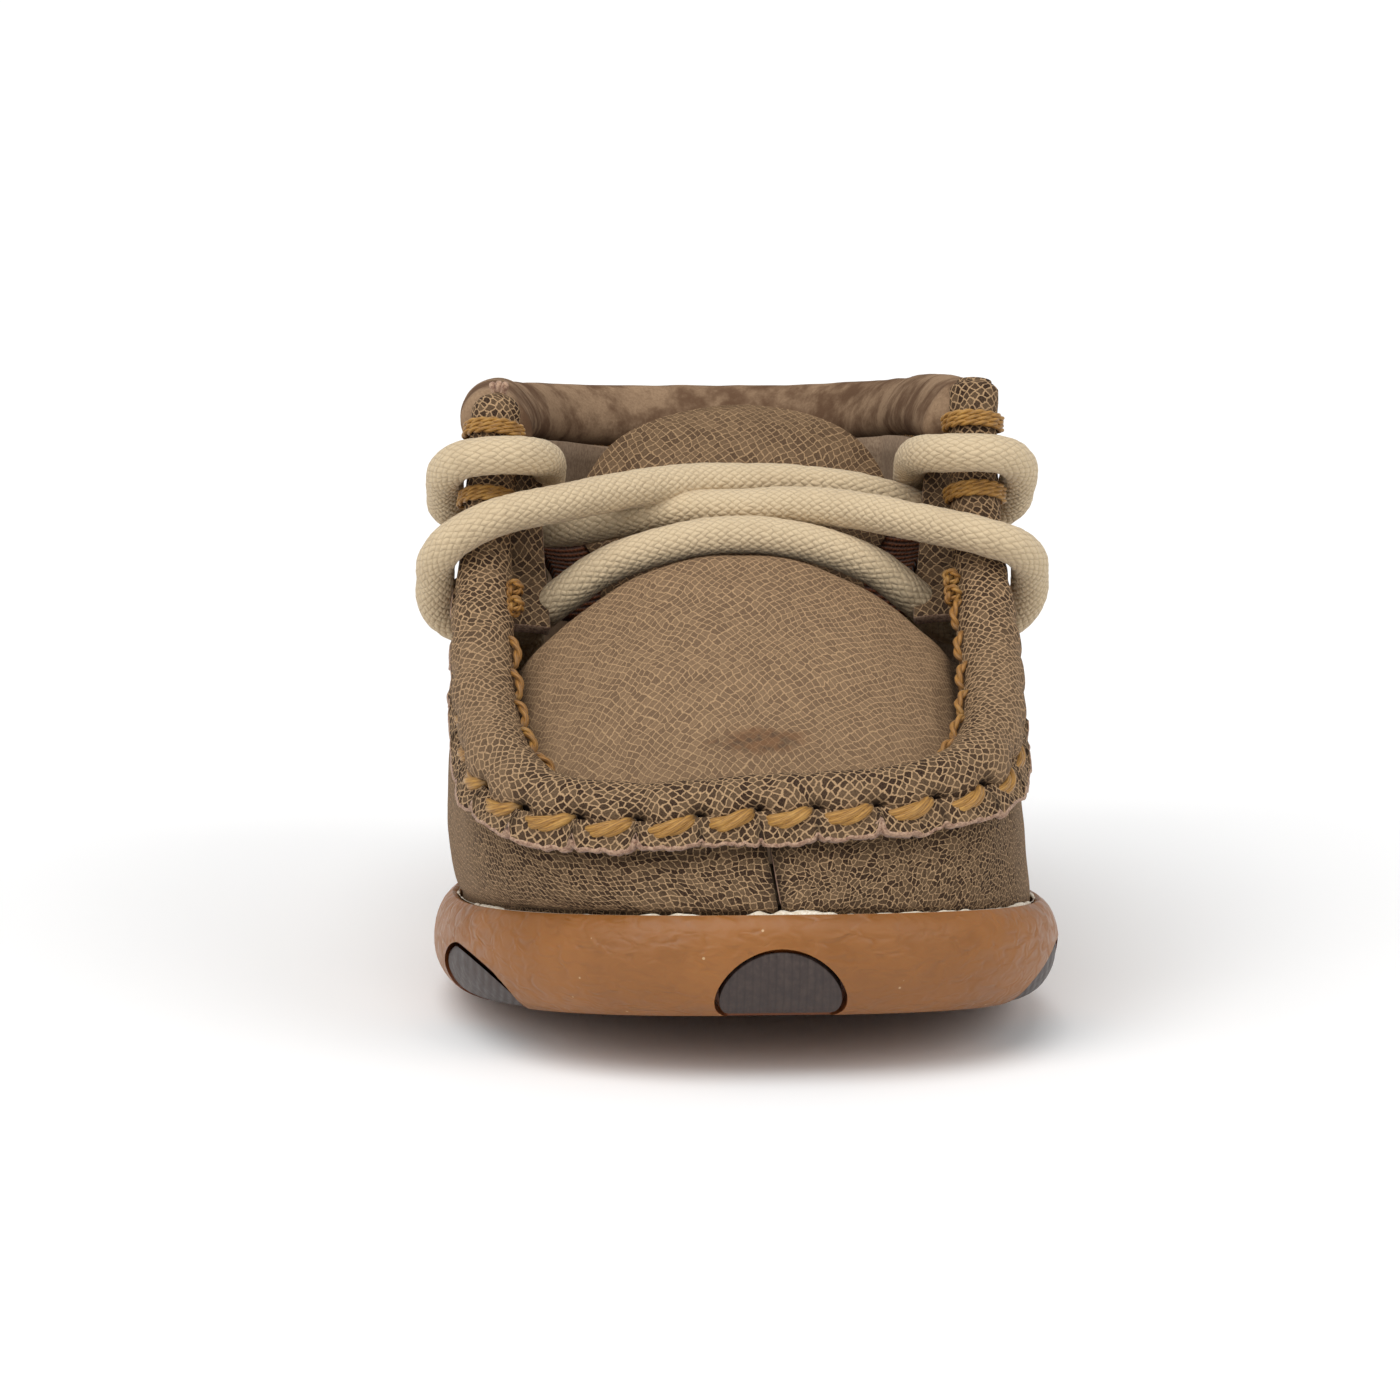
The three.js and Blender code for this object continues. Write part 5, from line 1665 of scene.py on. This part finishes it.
# ---- rim roll ----------------------------------------------------------------------------------------------
@dataclass
class RimRoll:
    """The stuffed roll that frames the apron, the ragged lap below it, its stitches and the column bars."""

    shape: UpperShape
    wardrobe: Wardrobe
    pitch: float = 5.5
    first: float = 0.135
    last: float = 0.865
    phase: float = 0.35
    inner_pitch: float = 5.0
    outer_thread: float = 0.78
    inner_thread: float = 0.45
    bar_thread: float = 0.36
    lap_height: float = 3.0
    lap_thickness: float = 0.95

    def __post_init__(self) -> None:
        """Sets out the needle holes along the roll."""
        length = self.shape.roll.length
        self.length = length
        self.holes = np.arange(self.first * length + self.phase * self.pitch, self.last * length, self.pitch)
        low = np.arange(0.19 * length, 0.405 * length, self.inner_pitch)
        self.inner_holes = np.concatenate([low, length - low[::-1]])

    @staticmethod
    def outer_angle(places: Places) -> np.ndarray:
        """Angle of the outer stitches round the roll."""
        return lerp(-48, -6, np.abs(places.out[:, 1]))

    def near_hole(self, reached: np.ndarray, width: float) -> np.ndarray:
        """How near places along the roll are to a needle hole, from 0 to 1."""
        return np.exp(-((np.abs(reached[:, None] - self.holes[None]).min(axis=1) / width) ** 2))

    def build(self) -> None:
        """Makes the roll, its lap, stitches and bars."""
        self.roll()
        self.lap()
        self.outer_stitches()
        self.inner_stitches()
        self.bars()

    def roll(self) -> None:
        """Makes the roll, drawn in at every needle hole."""
        reached = np.arange(0, self.length, 0.42)
        ends = 1 - (1 - np.linspace(0, 1, 7)) ** 2
        lengths = {"left": 2.4, "right": 0.9}
        reached = np.concatenate(
            [ends[:-1] * lengths["left"], reached[(reached > 2.5) & (reached < self.length - 1)]]
        )
        reached = np.concatenate([reached, self.length - (ends * lengths["right"])[::-1]])
        places = self.shape.roll.places(reached / self.length)
        sides = 56
        angle = np.linspace(0, 360, sides, endpoint=False)
        off = (angle[None] - self.outer_angle(places)[:, None] + 180) % 360 - 180
        pull = self.near_hole(reached, 1.15)[:, None]
        stitched = ((reached > self.holes[0] - 2) & (reached < self.holes[-1] + 2))[:, None]
        radius = self.shape.roll_radius(places.points)[:, None] * np.ones(sides)
        radius = radius - stitched * (
            0.75 * pull * np.exp(-((off / 22) ** 2)) + 0.34 * pull * np.exp(-((off / 62) ** 2))
        )
        radius = radius + stitched * 0.12 * (1 - pull) * np.exp(-(((off - 40) / 45) ** 2))
        surface = rings_round(places, radius, sides)
        wrinkles = 0.2 * rough(surface, 4.5, 21) + 0.09 * rough(surface, 1.7, 22)
        radius = radius + wrinkles * ease(np.minimum(reached, self.length - reached), 0, 3)[:, None]
        taper_left = np.sqrt(np.clip(1 - (1 - np.clip(reached / lengths["left"], 0, 1)) ** 2, 0.02, 1))
        taper_right = np.clip((self.length - reached) / lengths["right"], 0, 1) ** 0.25
        radius = radius * (taper_left * np.maximum(taper_right, 0.72))[:, None]
        rings = rings_round(places, radius, sides)
        worn = 0.5 * ease(np.abs(rings[..., 0]), 20, 27) * (1 - ease(rings[..., 2], 36, 44))
        # Painted shade in each needle hole on the roll, given as the hole mark.
        hole = 1.3 * self.near_hole(reached, 0.8)[:, None] * stitched * np.exp(-((off / 21) ** 2))
        wide = np.concatenate([np.arange(sides), [0]])
        sewing = Sewing()
        sewing.tube(rings, worn=worn[:, wide], hole=hole[:, wide])
        piece = self.wardrobe.dress(sewing.finish("stuffed_roll"), "roll_leather")
        place_piece(piece, "embossed_leather", "rim_roll", "rim_core")
        self.tuft()

    def tuft(self) -> None:
        """Makes the small raw tuft that stands up from the top of the little-toe column."""
        at = self.shape.roll.places(0.002)
        base, sewing = at.points[0] + at.down[0] * 0.3, Sewing()
        for k in range(5):
            lean = np.array([0.5 * math.sin(2.1 * k), 0.5 * math.cos(2.7 * k), 0])
            share = np.linspace(0, 1, 7)[:, None]
            line = base + lean * 0.9 + (UP * (1.5 + 0.35 * math.sin(3 * k)) + lean * 0.9 * share) * share
            strand(sewing, line, 0.42, 6)
        piece = self.wardrobe.dress(sewing.finish("raw_tuft"), "raw_leather_edge")
        place_piece(piece, "embossed_leather")

    def lap(self) -> None:
        """Makes the lap of wall leather below the stitches, slit at every hole, with its ragged edge."""
        reached = np.arange(self.first * self.length - 2, self.last * self.length + 2, 0.24)
        places = self.shape.roll.places(reached / self.length)
        angle = self.outer_angle(places)
        base = self.shape.roll_radius(places.points)
        ends = ease(np.minimum(reached - reached[0], reached[-1] - reached), 0, 6)
        slit = np.exp(-((np.abs(reached[:, None] - self.holes[None]).min(axis=1) / 0.28) ** 2))
        fringe = (
            0.55 * rough(places.points, 3.4, 31) + 0.34 * rough(places.points, 0.9, 33)
            + 0.2 * rough(places.points, 0.35, 35)
        )
        height = self.lap_height + fringe + 0.5 * rough(places.points, 12, 37)
        height = height * (0.35 + 0.65 * ends) - 1.7 * slit * (
            0.45 + 0.55 * (rough(places.points, 6, 39) > -0.1)
        )
        top = places.around(base - 0.25, angle + 6)
        rows = []
        flare = 0.7 + 0.5 * rough(places.points, 2.6, 41)
        for share in np.linspace(0, 1, 11):
            drop = height * share
            bow = 0.75 * math.sin(min(1.0, share * 1.6) * math.pi / 2)
            outwards = bow + flare * share**2 * 0.8
            rows.append(top + places.down * drop[:, None] * 0.98 + places.out * outwards[:, None])
        rows = np.stack(rows, axis=1)
        rows = rows + places.out[:, None] * (0.16 * rough(rows, 1.8, 43))[..., None]
        # Painted shade in the slit at each hole, given as the hole mark.
        slit_shade = slit[:, None] * np.linspace(0, 1, 11)[None] ** 0.5
        spread, hole = measured_uv(rows), np.clip(0.95 * slit_shade, 0, 1)
        sewing = Sewing()
        sewing.sheet(rows[:, :10], spread[:, :10], hole=hole[:, :10])
        sewing.sheet(rows[:, 9:], spread[:, 9:], hole=0.5 * hole[:, 9:], slot=1)
        piece = sewing.finish("seam_lap", closed=False, inside=(0, 0, 25))
        self.wardrobe.dress(piece, "roll_leather", "raw_leather_edge")
        thicken(piece, self.lap_thickness, rim_slot=1)
        settle(piece)
        place_piece(piece, "embossed_leather")

    def outer_stitches(self) -> None:
        """Makes the row of thick stitches round the front of the roll."""
        sewing = Sewing()
        for k, (start, end) in enumerate(zip(self.holes, self.holes[1:])):
            reached = np.linspace(start + 0.5, end - 0.5, 30)
            share = np.linspace(0, 1, 30)
            places = self.shape.roll.places(reached / self.length)
            wobble = 1.6 * math.sin(k * 2.3)
            angle = self.outer_angle(places) - 6 + lerp(-9, 9, share) + wobble
            lift = -1.05 + 1.5 * np.sin(np.pi * share) ** 0.6
            points = places.around(self.shape.roll_radius(places.points) + lift, angle)
            twisted(sewing, points, self.outer_thread, 11.0, 4, 9, start=k * 1.3)
        piece = self.wardrobe.dress(sewing.finish("outer_stitches"), "outer_thread")
        place_piece(piece, "waxed_thread", "outer_seam_thread")

    def inner_stitches(self) -> None:
        """Makes the smaller stitches in the valley between roll and apron, and their knotted ends."""
        sewing = Sewing()
        for k, start in enumerate(self.inner_holes):
            reached = np.linspace(start, start + 3.9, 20)
            share = np.linspace(0, 1, 20)
            places = self.shape.roll.places(reached / self.length)
            angle = 158 + lerp(-10, 10, share) * (1 if start < self.length / 2 else -1)
            lift = -0.45 + 1.0 * np.sin(np.pi * share) ** 0.6
            points = places.around(self.shape.roll_radius(places.points) + lift, angle)
            twisted(sewing, points, self.inner_thread, 3.0, 2, 7, start=k * 0.9)
        for share in (0.165, 0.835, 0.15, 0.85):
            place = self.shape.roll.places(share)
            centre = place.around(self.shape.roll_radius(place.points) + 0.4, 160)[0]
            turn = np.linspace(0, 4 * math.pi, 40)
            loops = np.stack(
                [0.8 * np.cos(turn), 0.5 * np.sin(turn * 1.5), 0.9 * np.sin(turn) + 0.12 * turn], -1
            )
            twisted(sewing, centre + loops * 0.8, 0.34, 1.8, 2, 7)
        piece = self.wardrobe.dress(sewing.finish("inner_stitches"), "inner_thread")
        place_piece(piece, "waxed_thread", "inner_seam_thread")

    def bars(self) -> None:
        """Makes the thread bars round both columns, below and above the lace."""
        for height, y in (("lower", -15.8), ("upper", -12.7)):
            for side, name in ((Side.LEFT, "left"), (Side.RIGHT, "right")):
                at = self.shape.roll.places(self.shape.roll.share_at_y(side, y))
                angles = np.linspace(-22, 202, 40)
                sewing = Sewing()
                for k, shift in enumerate((-0.52, 0.0, 0.52)):
                    middle = at.points + at.along * shift
                    centre = Places(*[np.repeat(v, 40, axis=0) for v in (middle, at.along, at.out, at.down)])
                    lift = 0.42 - 0.5 * (np.abs(angles - 90) > 100)
                    radius = self.shape.roll_radius(at.points)[0] + lift + 0.05 * k
                    twisted(
                        sewing, centre.around(radius, angles + 4 * k), self.bar_thread, 2.4, 2, 7, start=k
                    )
                piece = self.wardrobe.dress(sewing.finish(f"thread_bar_{height}_{name}"), "outer_thread")
                place_piece(piece, "waxed_thread", f"column_bar_{height}_{name}")


# ---- apron -------------------------------------------------------------------------------------------------
@dataclass
class Apron:
    """The crowned leather apron inside the roll, with its lining."""

    shape: UpperShape
    wardrobe: Wardrobe
    roll_radius: float = 3.15
    rear_scoop: float = 5.6

    def rows(self, shares: np.ndarray, qs: np.ndarray, drop: float, inset: float, tuck: bool) -> np.ndarray:
        """Points of the apron's face.

        Args:
            shares: Places from toe to throat.
            qs: Places across, -1 at the little-toe edge and 1 at the other.
            drop: How far below the outer face.
            inset: How far the edge stays inside the roll.
            tuck: Whether to carry on under the roll.

        Returns:
            Points, shares by places across by 3.
        """
        ridge = self.shape.ridge.at_knot(shares)
        scoop = self.rear_scoop * shares**2
        edge_y = np.maximum(ROLL_JOINT[1] + 0.3, ridge[:, 1] - self.roll_radius - GAP - scoop + 2.2 * shares)
        edges = {}
        for side in Side:
            at = self.shape.roll.places(self.shape.roll.share_at_y(side, edge_y))
            edge = at.points - at.out * (self.roll_radius + GAP + inset) + at.down * 2.4
            edges[side] = (edge, at.points - at.out * 1.5 + at.down * 2.9)
        columns = []
        for q in qs:
            edge = edges[Side.LEFT if q < 0 else Side.RIGHT][0]
            t = abs(q)
            x = lerp(self.shape.sole.middle(ridge[:, 1]), edge[:, 0], t)
            z = lerp(np.maximum(ridge[:, 2], edge[:, 2]), edge[:, 2], t**2.3)
            columns.append(np.stack([x, lerp(ridge[:, 1], edge[:, 1], t * t), z - drop], -1))
        if tuck:
            for side, end in ((Side.LEFT, 0), (Side.RIGHT, -1)):
                edge, under = edges[side]
                extra = [lerp(edge, under, k) for k in (0.5, 1.0)]
                columns = [*extra[::-1], *columns] if end == 0 else [*columns, *extra]
        return np.stack(columns, axis=1)

    def build(self) -> None:
        """Makes the apron and its lining."""
        shares = np.linspace(0.004, 1, 96)
        qs = np.sin(np.linspace(-math.pi / 2, math.pi / 2, 96))
        qs[0], qs[-1] = -1, 1
        rows = self.rows(shares, qs, 0, 0, True)
        lumps = 0.32 * rough(rows, 13, 51) + 0.14 * rough(rows, 4.2, 52)
        across = np.abs(np.concatenate([[-1, -1], qs, [1, 1]]))[None]
        gathers = 0.3 * rough(rows * (1, 1, 0.5), 2.8, 53) * ease(across, 0.62, 0.95)
        rows[..., 2] += (lumps + gathers) * (1 - 0.5 * ease(across, 0.96, 1))
        rows[-6:, :, 2] -= (0.5 * np.linspace(0, 1, 6) ** 2)[:, None]
        worn = (
            0.25 * ease(across, 0.55, 0.95)
            + 0.12 * ease(rows[..., 1], -36, -48) * (1 - ease(across, 0.5, 0.9))
        )
        # Painted shade along the apron's edge where it tucks under the roll, given as the hole mark.
        tuck_shade = 0.75 * ease(across, 0.94, 1.0)
        sewing = Sewing()
        sewing.sheet(rows, worn=worn, hole=tuck_shade)
        piece = sewing.finish("apron_face", closed=False, inside=(0, -30, 0))
        self.wardrobe.dress(piece, "apron_leather", "raw_leather_edge")
        thicken(piece, self.shape.leather, rim_slot=1, bevel=0.2)
        settle(piece)
        place_piece(piece, "embossed_leather", "apron")
        under = self.rows(
            np.linspace(0.12, 0.98, 40), np.linspace(-1, 1, 40), self.shape.leather + GAP + 0.2, 1.2, False
        )
        sewing = Sewing()
        sewing.sheet(under)
        lining = sewing.finish("apron_inner_lining", closed=False, inside=(0, -30, 0))
        thicken(self.wardrobe.dress(lining, "lining_leather"), 0.8)
        settle(lining)
        place_piece(lining, "lining_leather", "apron_lining")


# ---- throat ------------------------------------------------------------------------------------------------
@dataclass
class Throat:
    """The tongue with its lining, the elastic gores beside it, and the facings behind the columns."""

    shape: UpperShape
    wardrobe: Wardrobe
    lace: Lace
    root_half_width: float = 13.6
    top_half_width: float = 16.3
    arch: float = 5
    lean: float = 1.5
    round_from: float = 0.58

    def half_width(self, share: Numbers, inset: float) -> np.ndarray:
        """Half of the tongue's width at shares of its length."""
        turn = np.maximum(0, (share - self.round_from) / (1 - self.round_from))
        full = lerp(self.root_half_width, self.top_half_width, ease(share, 0.2, 0.55))
        return np.maximum(1.5, (full - inset) * np.sqrt(np.maximum(0, 1 - turn**2.4)))

    def face(
        self, shares: np.ndarray, qs: np.ndarray, depth: float, inset: float
    ) -> tuple[np.ndarray, np.ndarray]:
        """Points of the tongue's face, and its outward direction at each share.

        Args:
            shares: Places from root to tip.
            qs: Places across, from -1 to 1.
            depth: How far behind the face.
            inset: How far inside the edge.

        Returns:
            The points, shares by places across by 3, and the directions.
        """
        at = self.shape.tongue.places(shares)
        outwards = np.stack([np.zeros(len(shares)), -at.along[:, 2], at.along[:, 1]], -1)
        broad = (self.half_width(shares, 0) / self.top_half_width) ** 2
        sag = self.arch * (1 - 0.3 * shares)[:, None] * qs[None] ** 2 * broad[:, None]
        rows = at.points[:, None] - outwards[:, None] * (depth + sag)[..., None]
        rows[..., 0] = self.lean * shares[:, None] + qs[None] * self.half_width(shares, inset)[:, None]
        return rows, outwards

    def build(self) -> None:
        """Makes the throat's pieces."""
        shares = 1 - (1 - np.linspace(0, 1, 60)) ** 1.7
        qs = np.linspace(-1, 1, 60)
        rows, outwards = self.face(shares, qs, 0, 0)
        rows = rows + outwards[:, None] * (0.25 * rough(rows, 8, 61) + 0.1 * rough(rows, 3, 62))[..., None]
        sewing = Sewing()
        sewing.sheet(rows, worn=0.25 * ease(shares, 0.85, 1)[:, None])
        tongue = sewing.finish("tongue_face", closed=False, inside=(0, 20, 20))
        self.wardrobe.dress(tongue, "tongue_leather", "raw_leather_edge")
        thicken(tongue, self.shape.leather, rim_slot=1, bevel=0.3)
        settle(tongue)
        place_piece(tongue, "embossed_leather", "tongue", body=TONGUE)
        under, _ = self.face(np.linspace(0, 0.97, 30), np.linspace(-1, 1, 30), self.shape.leather + 0.5, 0.8)
        sewing = Sewing()
        sewing.sheet(under)
        lining = sewing.finish("tongue_inner_lining", closed=False, inside=(0, 20, 20))
        thicken(self.wardrobe.dress(lining, "lining_leather"), 1.0)
        settle(lining)
        place_piece(lining, "lining_leather", "tongue_lining", body=TONGUE)
        for side, name in ((Side.LEFT, "left"), (Side.RIGHT, "right")):
            self.gore(side, name)
            self.facing(side, name)

    def gore(self, side: Side, name: str) -> None:
        """Makes one ribbed elastic gore, from the facing to the tongue's edge.

        Args:
            side: Which side.
            name: The side's name.
        """
        shares = np.linspace(0.03, 0.5, 26)
        edge, outwards = self.face(shares, np.array([float(side)]), 0.35, 0)
        steps = np.linspace(-0.2, 4.6, 16)
        bow = 0.5 * np.sin(np.pi * np.linspace(0, 1, 16))
        rows = edge + np.outer(steps, (side, 0, 0))[None] - outwards[:, None] * bow[None, :, None]
        sewing = Sewing()
        sewing.sheet(rows)
        piece = sewing.finish("elastic_" + name, closed=False, inside=(0, 20, 20))
        thicken(self.wardrobe.dress(piece, "elastic_gore"), 0.9)
        settle(piece)
        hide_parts("gore_" + name)
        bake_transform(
            piece, SHOE, TONGUE, start=(side * 0.0192, -0.012, 0.046), end=(side * 0.0142, -0.012, 0.046)
        )
        LOG.info("%s: %d faces", piece.name, len(piece.data.polygons))

    def facing(self, side: Side, name: str) -> None:
        """Makes the folded-in leather behind one column.

        Args:
            side: Which side.
            name: The side's name.
        """
        shares = np.linspace(0.15, 0.035, 40)
        at = self.shape.roll.places(1 - shares if side > 0 else shares)
        radius = self.shape.roll_radius(at.points)
        width = np.linspace(3.7, 2.0, 40)
        columns = []
        for step in np.linspace(0, 1, 14):
            out = -(radius - 1.4) - (width + 1.4) * step
            deep = radius + GAP + 0.5 * step**2
            columns.append(at.points + at.out * out[:, None] + at.down * deep[:, None])
        rows = np.stack(columns, axis=1)
        rows = rows + at.down[:, None] * (0.2 * rough(rows, 3.5, 71 + side))[..., None]
        sewing = Sewing()
        sewing.sheet(rows, worn=0.1)
        piece = sewing.finish(
            "facing_flap_" + name,
            closed=False,
            inside=tuple(rows.mean(axis=(0, 1)) + at.down.mean(axis=0) * 9),
        )
        self.wardrobe.dress(piece, "facing_leather", "raw_leather_edge")
        thicken(piece, self.shape.leather, rim_slot=1, bevel=0.2)
        settle(piece)
        cut_with(piece, self.lace.ways())
        place_piece(piece, "embossed_leather", "facing_" + name)


# ---- collar ------------------------------------------------------------------------------------------------
@dataclass
class Collar:
    """The padded collar, with the seam that holds it down on the inside."""

    shape: UpperShape
    wardrobe: Wardrobe
    radius: float = 3.3
    inner_bulge: float = 1.55
    rounding: float = 2.4

    def build(self) -> None:
        """Makes the collar and its inner seam."""
        length = self.shape.collar.length
        reached = np.linspace(0, length, 300)
        ends = 1 - (1 - np.linspace(0, 1, 8)) ** 2
        ends = ends[:-1] * self.rounding
        middle = reached[(reached > 2.5) & (reached < length - 2.5)]
        reached = np.unique(np.concatenate([ends, middle, length - ends[::-1], [length]]))
        places = self.shape.collar.places(reached / length)
        sides = 44
        angle = np.linspace(0, 360, sides, endpoint=False)
        inner_low = np.clip(np.cos(np.radians(angle - 318)), 0, 1) ** 3
        radius = self.radius + self.inner_bulge * inner_low[None]
        surface = rings_round(places, radius, sides)
        calm = (0.3 + 0.7 * ease(np.minimum(reached, length - reached), 6, 20))[:, None]
        swell = calm * (0.22 * rough(surface, 10, 81) + 0.1 * rough(surface, 3.4, 82))
        creases = 0.07 * rough(surface * (1, 1, 0.4), 3.2, 83) * np.clip(
            np.cos(np.radians(angle - 330)), 0, 1
        )
        from_end = np.clip(np.minimum(reached, length - reached) / self.rounding, 0, 1)
        taper = np.sqrt(np.clip(1 - (1 - from_end) ** 2, 0.02, 1))
        radius = (radius + swell + creases) * taper[:, None]
        low = np.exp(-((((angle - 312 + 180) % 360 - 180) / 16) ** 2))
        radius = radius - 0.35 * low * taper[:, None]
        wide = np.concatenate([np.arange(sides), [0]])
        # Painted shade in the groove of the seam that holds the collar down, given as the hole mark.
        hole = np.broadcast_to(0.55 * low, radius.shape)
        sewing = Sewing()
        sewing.tube(rings_round(places, radius, sides), hole=hole[:, wide])
        piece = self.wardrobe.dress(sewing.finish("padded_collar"), "collar_suede")
        place_piece(piece, "soft_leather", "collar", "collar_foam")
        sewing = Sewing()
        for start in np.arange(4, length - 6, 2.7):
            share = np.linspace(0, 1, 8)
            at = self.shape.collar.places((start + 2.1 * share) / length)
            strand(sewing, at.around(self.radius + 1.15 + 0.3 * np.sin(np.pi * share), 312), 0.24, 6)
        seam = self.wardrobe.dress(sewing.finish("collar_seam_stitches"), "inner_thread")
        place_piece(seam, "waxed_thread")


# ---- studio ------------------------------------------------------------------------------------------------
@dataclass(frozen=True)
class SoftLight:
    """One broad, far light that faces the shoe: its direction, its width as an angle, and its strength."""

    name: str
    azimuth: float
    elevation: float
    width: float
    strength: float


@dataclass
class Studio:
    """The camera, the pale floor and the soft lights."""

    target: tuple = (-3.6, -20.0, 31.0)
    away: float = 620.0
    azimuth: float = -3.0
    elevation: float = 9.0
    seen_width: float = 142.8
    lights: tuple = (
        SoftLight("top_light", -25, 66, 50, 1.35),
        SoftLight("left_light", -48, 30, 40, 0.75),
        SoftLight("right_light", 52, 34, 40, 0.6),
    )

    @staticmethod
    def direction(azimuth: float, elevation: float) -> Vector:
        """Direction from the shoe towards an azimuth and elevation in degrees."""
        a, e = math.radians(azimuth), math.radians(elevation)
        return Vector((math.sin(a) * math.cos(e), -math.cos(a) * math.cos(e), math.sin(e)))

    def camera(self) -> None:
        """Makes the camera."""
        back = self.direction(self.azimuth, self.elevation)
        lens = bpy.data.cameras.new("camera")
        lens.sensor_width = 36
        lens.lens = 36 * self.away / self.seen_width
        lens.clip_start, lens.clip_end = 0.01, 20
        camera = bpy.data.objects.new("camera", lens)
        camera.location = (Vector(self.target) + back * self.away) * MM
        camera.rotation_mode = "QUATERNION"
        camera.rotation_quaternion = (-back).to_track_quat("-Z", "Y")
        bpy.context.scene.collection.objects.link(camera)
        bpy.context.scene.camera = camera

    def build(self) -> None:
        """Makes the floor, the lights and the surroundings."""
        bm = bmesh.new()
        bmesh.ops.create_grid(bm, x_segments=1, y_segments=1, size=6)
        floor = to_object(bm, "floor")
        make = Recipe("pale_floor", Roughness=0.9, Specular_IOR_Level=0.1)
        grain = make.noise(make.space(1.0), 3.0)
        floor.data.materials.append(make.finish(make.mix(grain, paint("f7f7f7"), paint("fbfbfb"))))
        for soft in self.lights:
            lamp = bpy.data.lights.new(soft.name, "SUN")
            lamp.angle, lamp.energy = math.radians(soft.width), soft.strength
            light = bpy.data.objects.new(soft.name, lamp)
            back = self.direction(soft.azimuth, soft.elevation)
            light.location = back
            light.rotation_mode = "QUATERNION"
            light.rotation_quaternion = (-back).to_track_quat("-Z", "Y")
            bpy.context.scene.collection.objects.link(light)
        world = bpy.data.worlds.new("white_room")
        world.use_nodes = True
        ground = world.node_tree.nodes["Background"]
        ground.inputs[0].default_value = (1, 1, 1, 1)
        ground.inputs[1].default_value = 0.55
        bpy.context.scene.world = world
        bpy.context.scene.view_settings.view_transform = "Standard"


def main() -> None:
    """Builds the studio and every sub-assembly, and writes down how large the result is."""
    logging.basicConfig(level=logging.INFO, format="%(message)s")
    shape, wardrobe, studio = UpperShape(), Wardrobe(), Studio()
    studio.camera()
    lace = Lace(shape, wardrobe)
    lace.build()
    for assembly in (
        Outsole(shape, wardrobe),
        Insoles(shape, wardrobe),
        SideWalls(shape, wardrobe, lace),
        RimRoll(shape, wardrobe),
        Apron(shape, wardrobe),
        Throat(shape, wardrobe, lace),
        Collar(shape, wardrobe),
        studio,
    ):
        assembly.build()


if __name__ == "__main__":
    main()
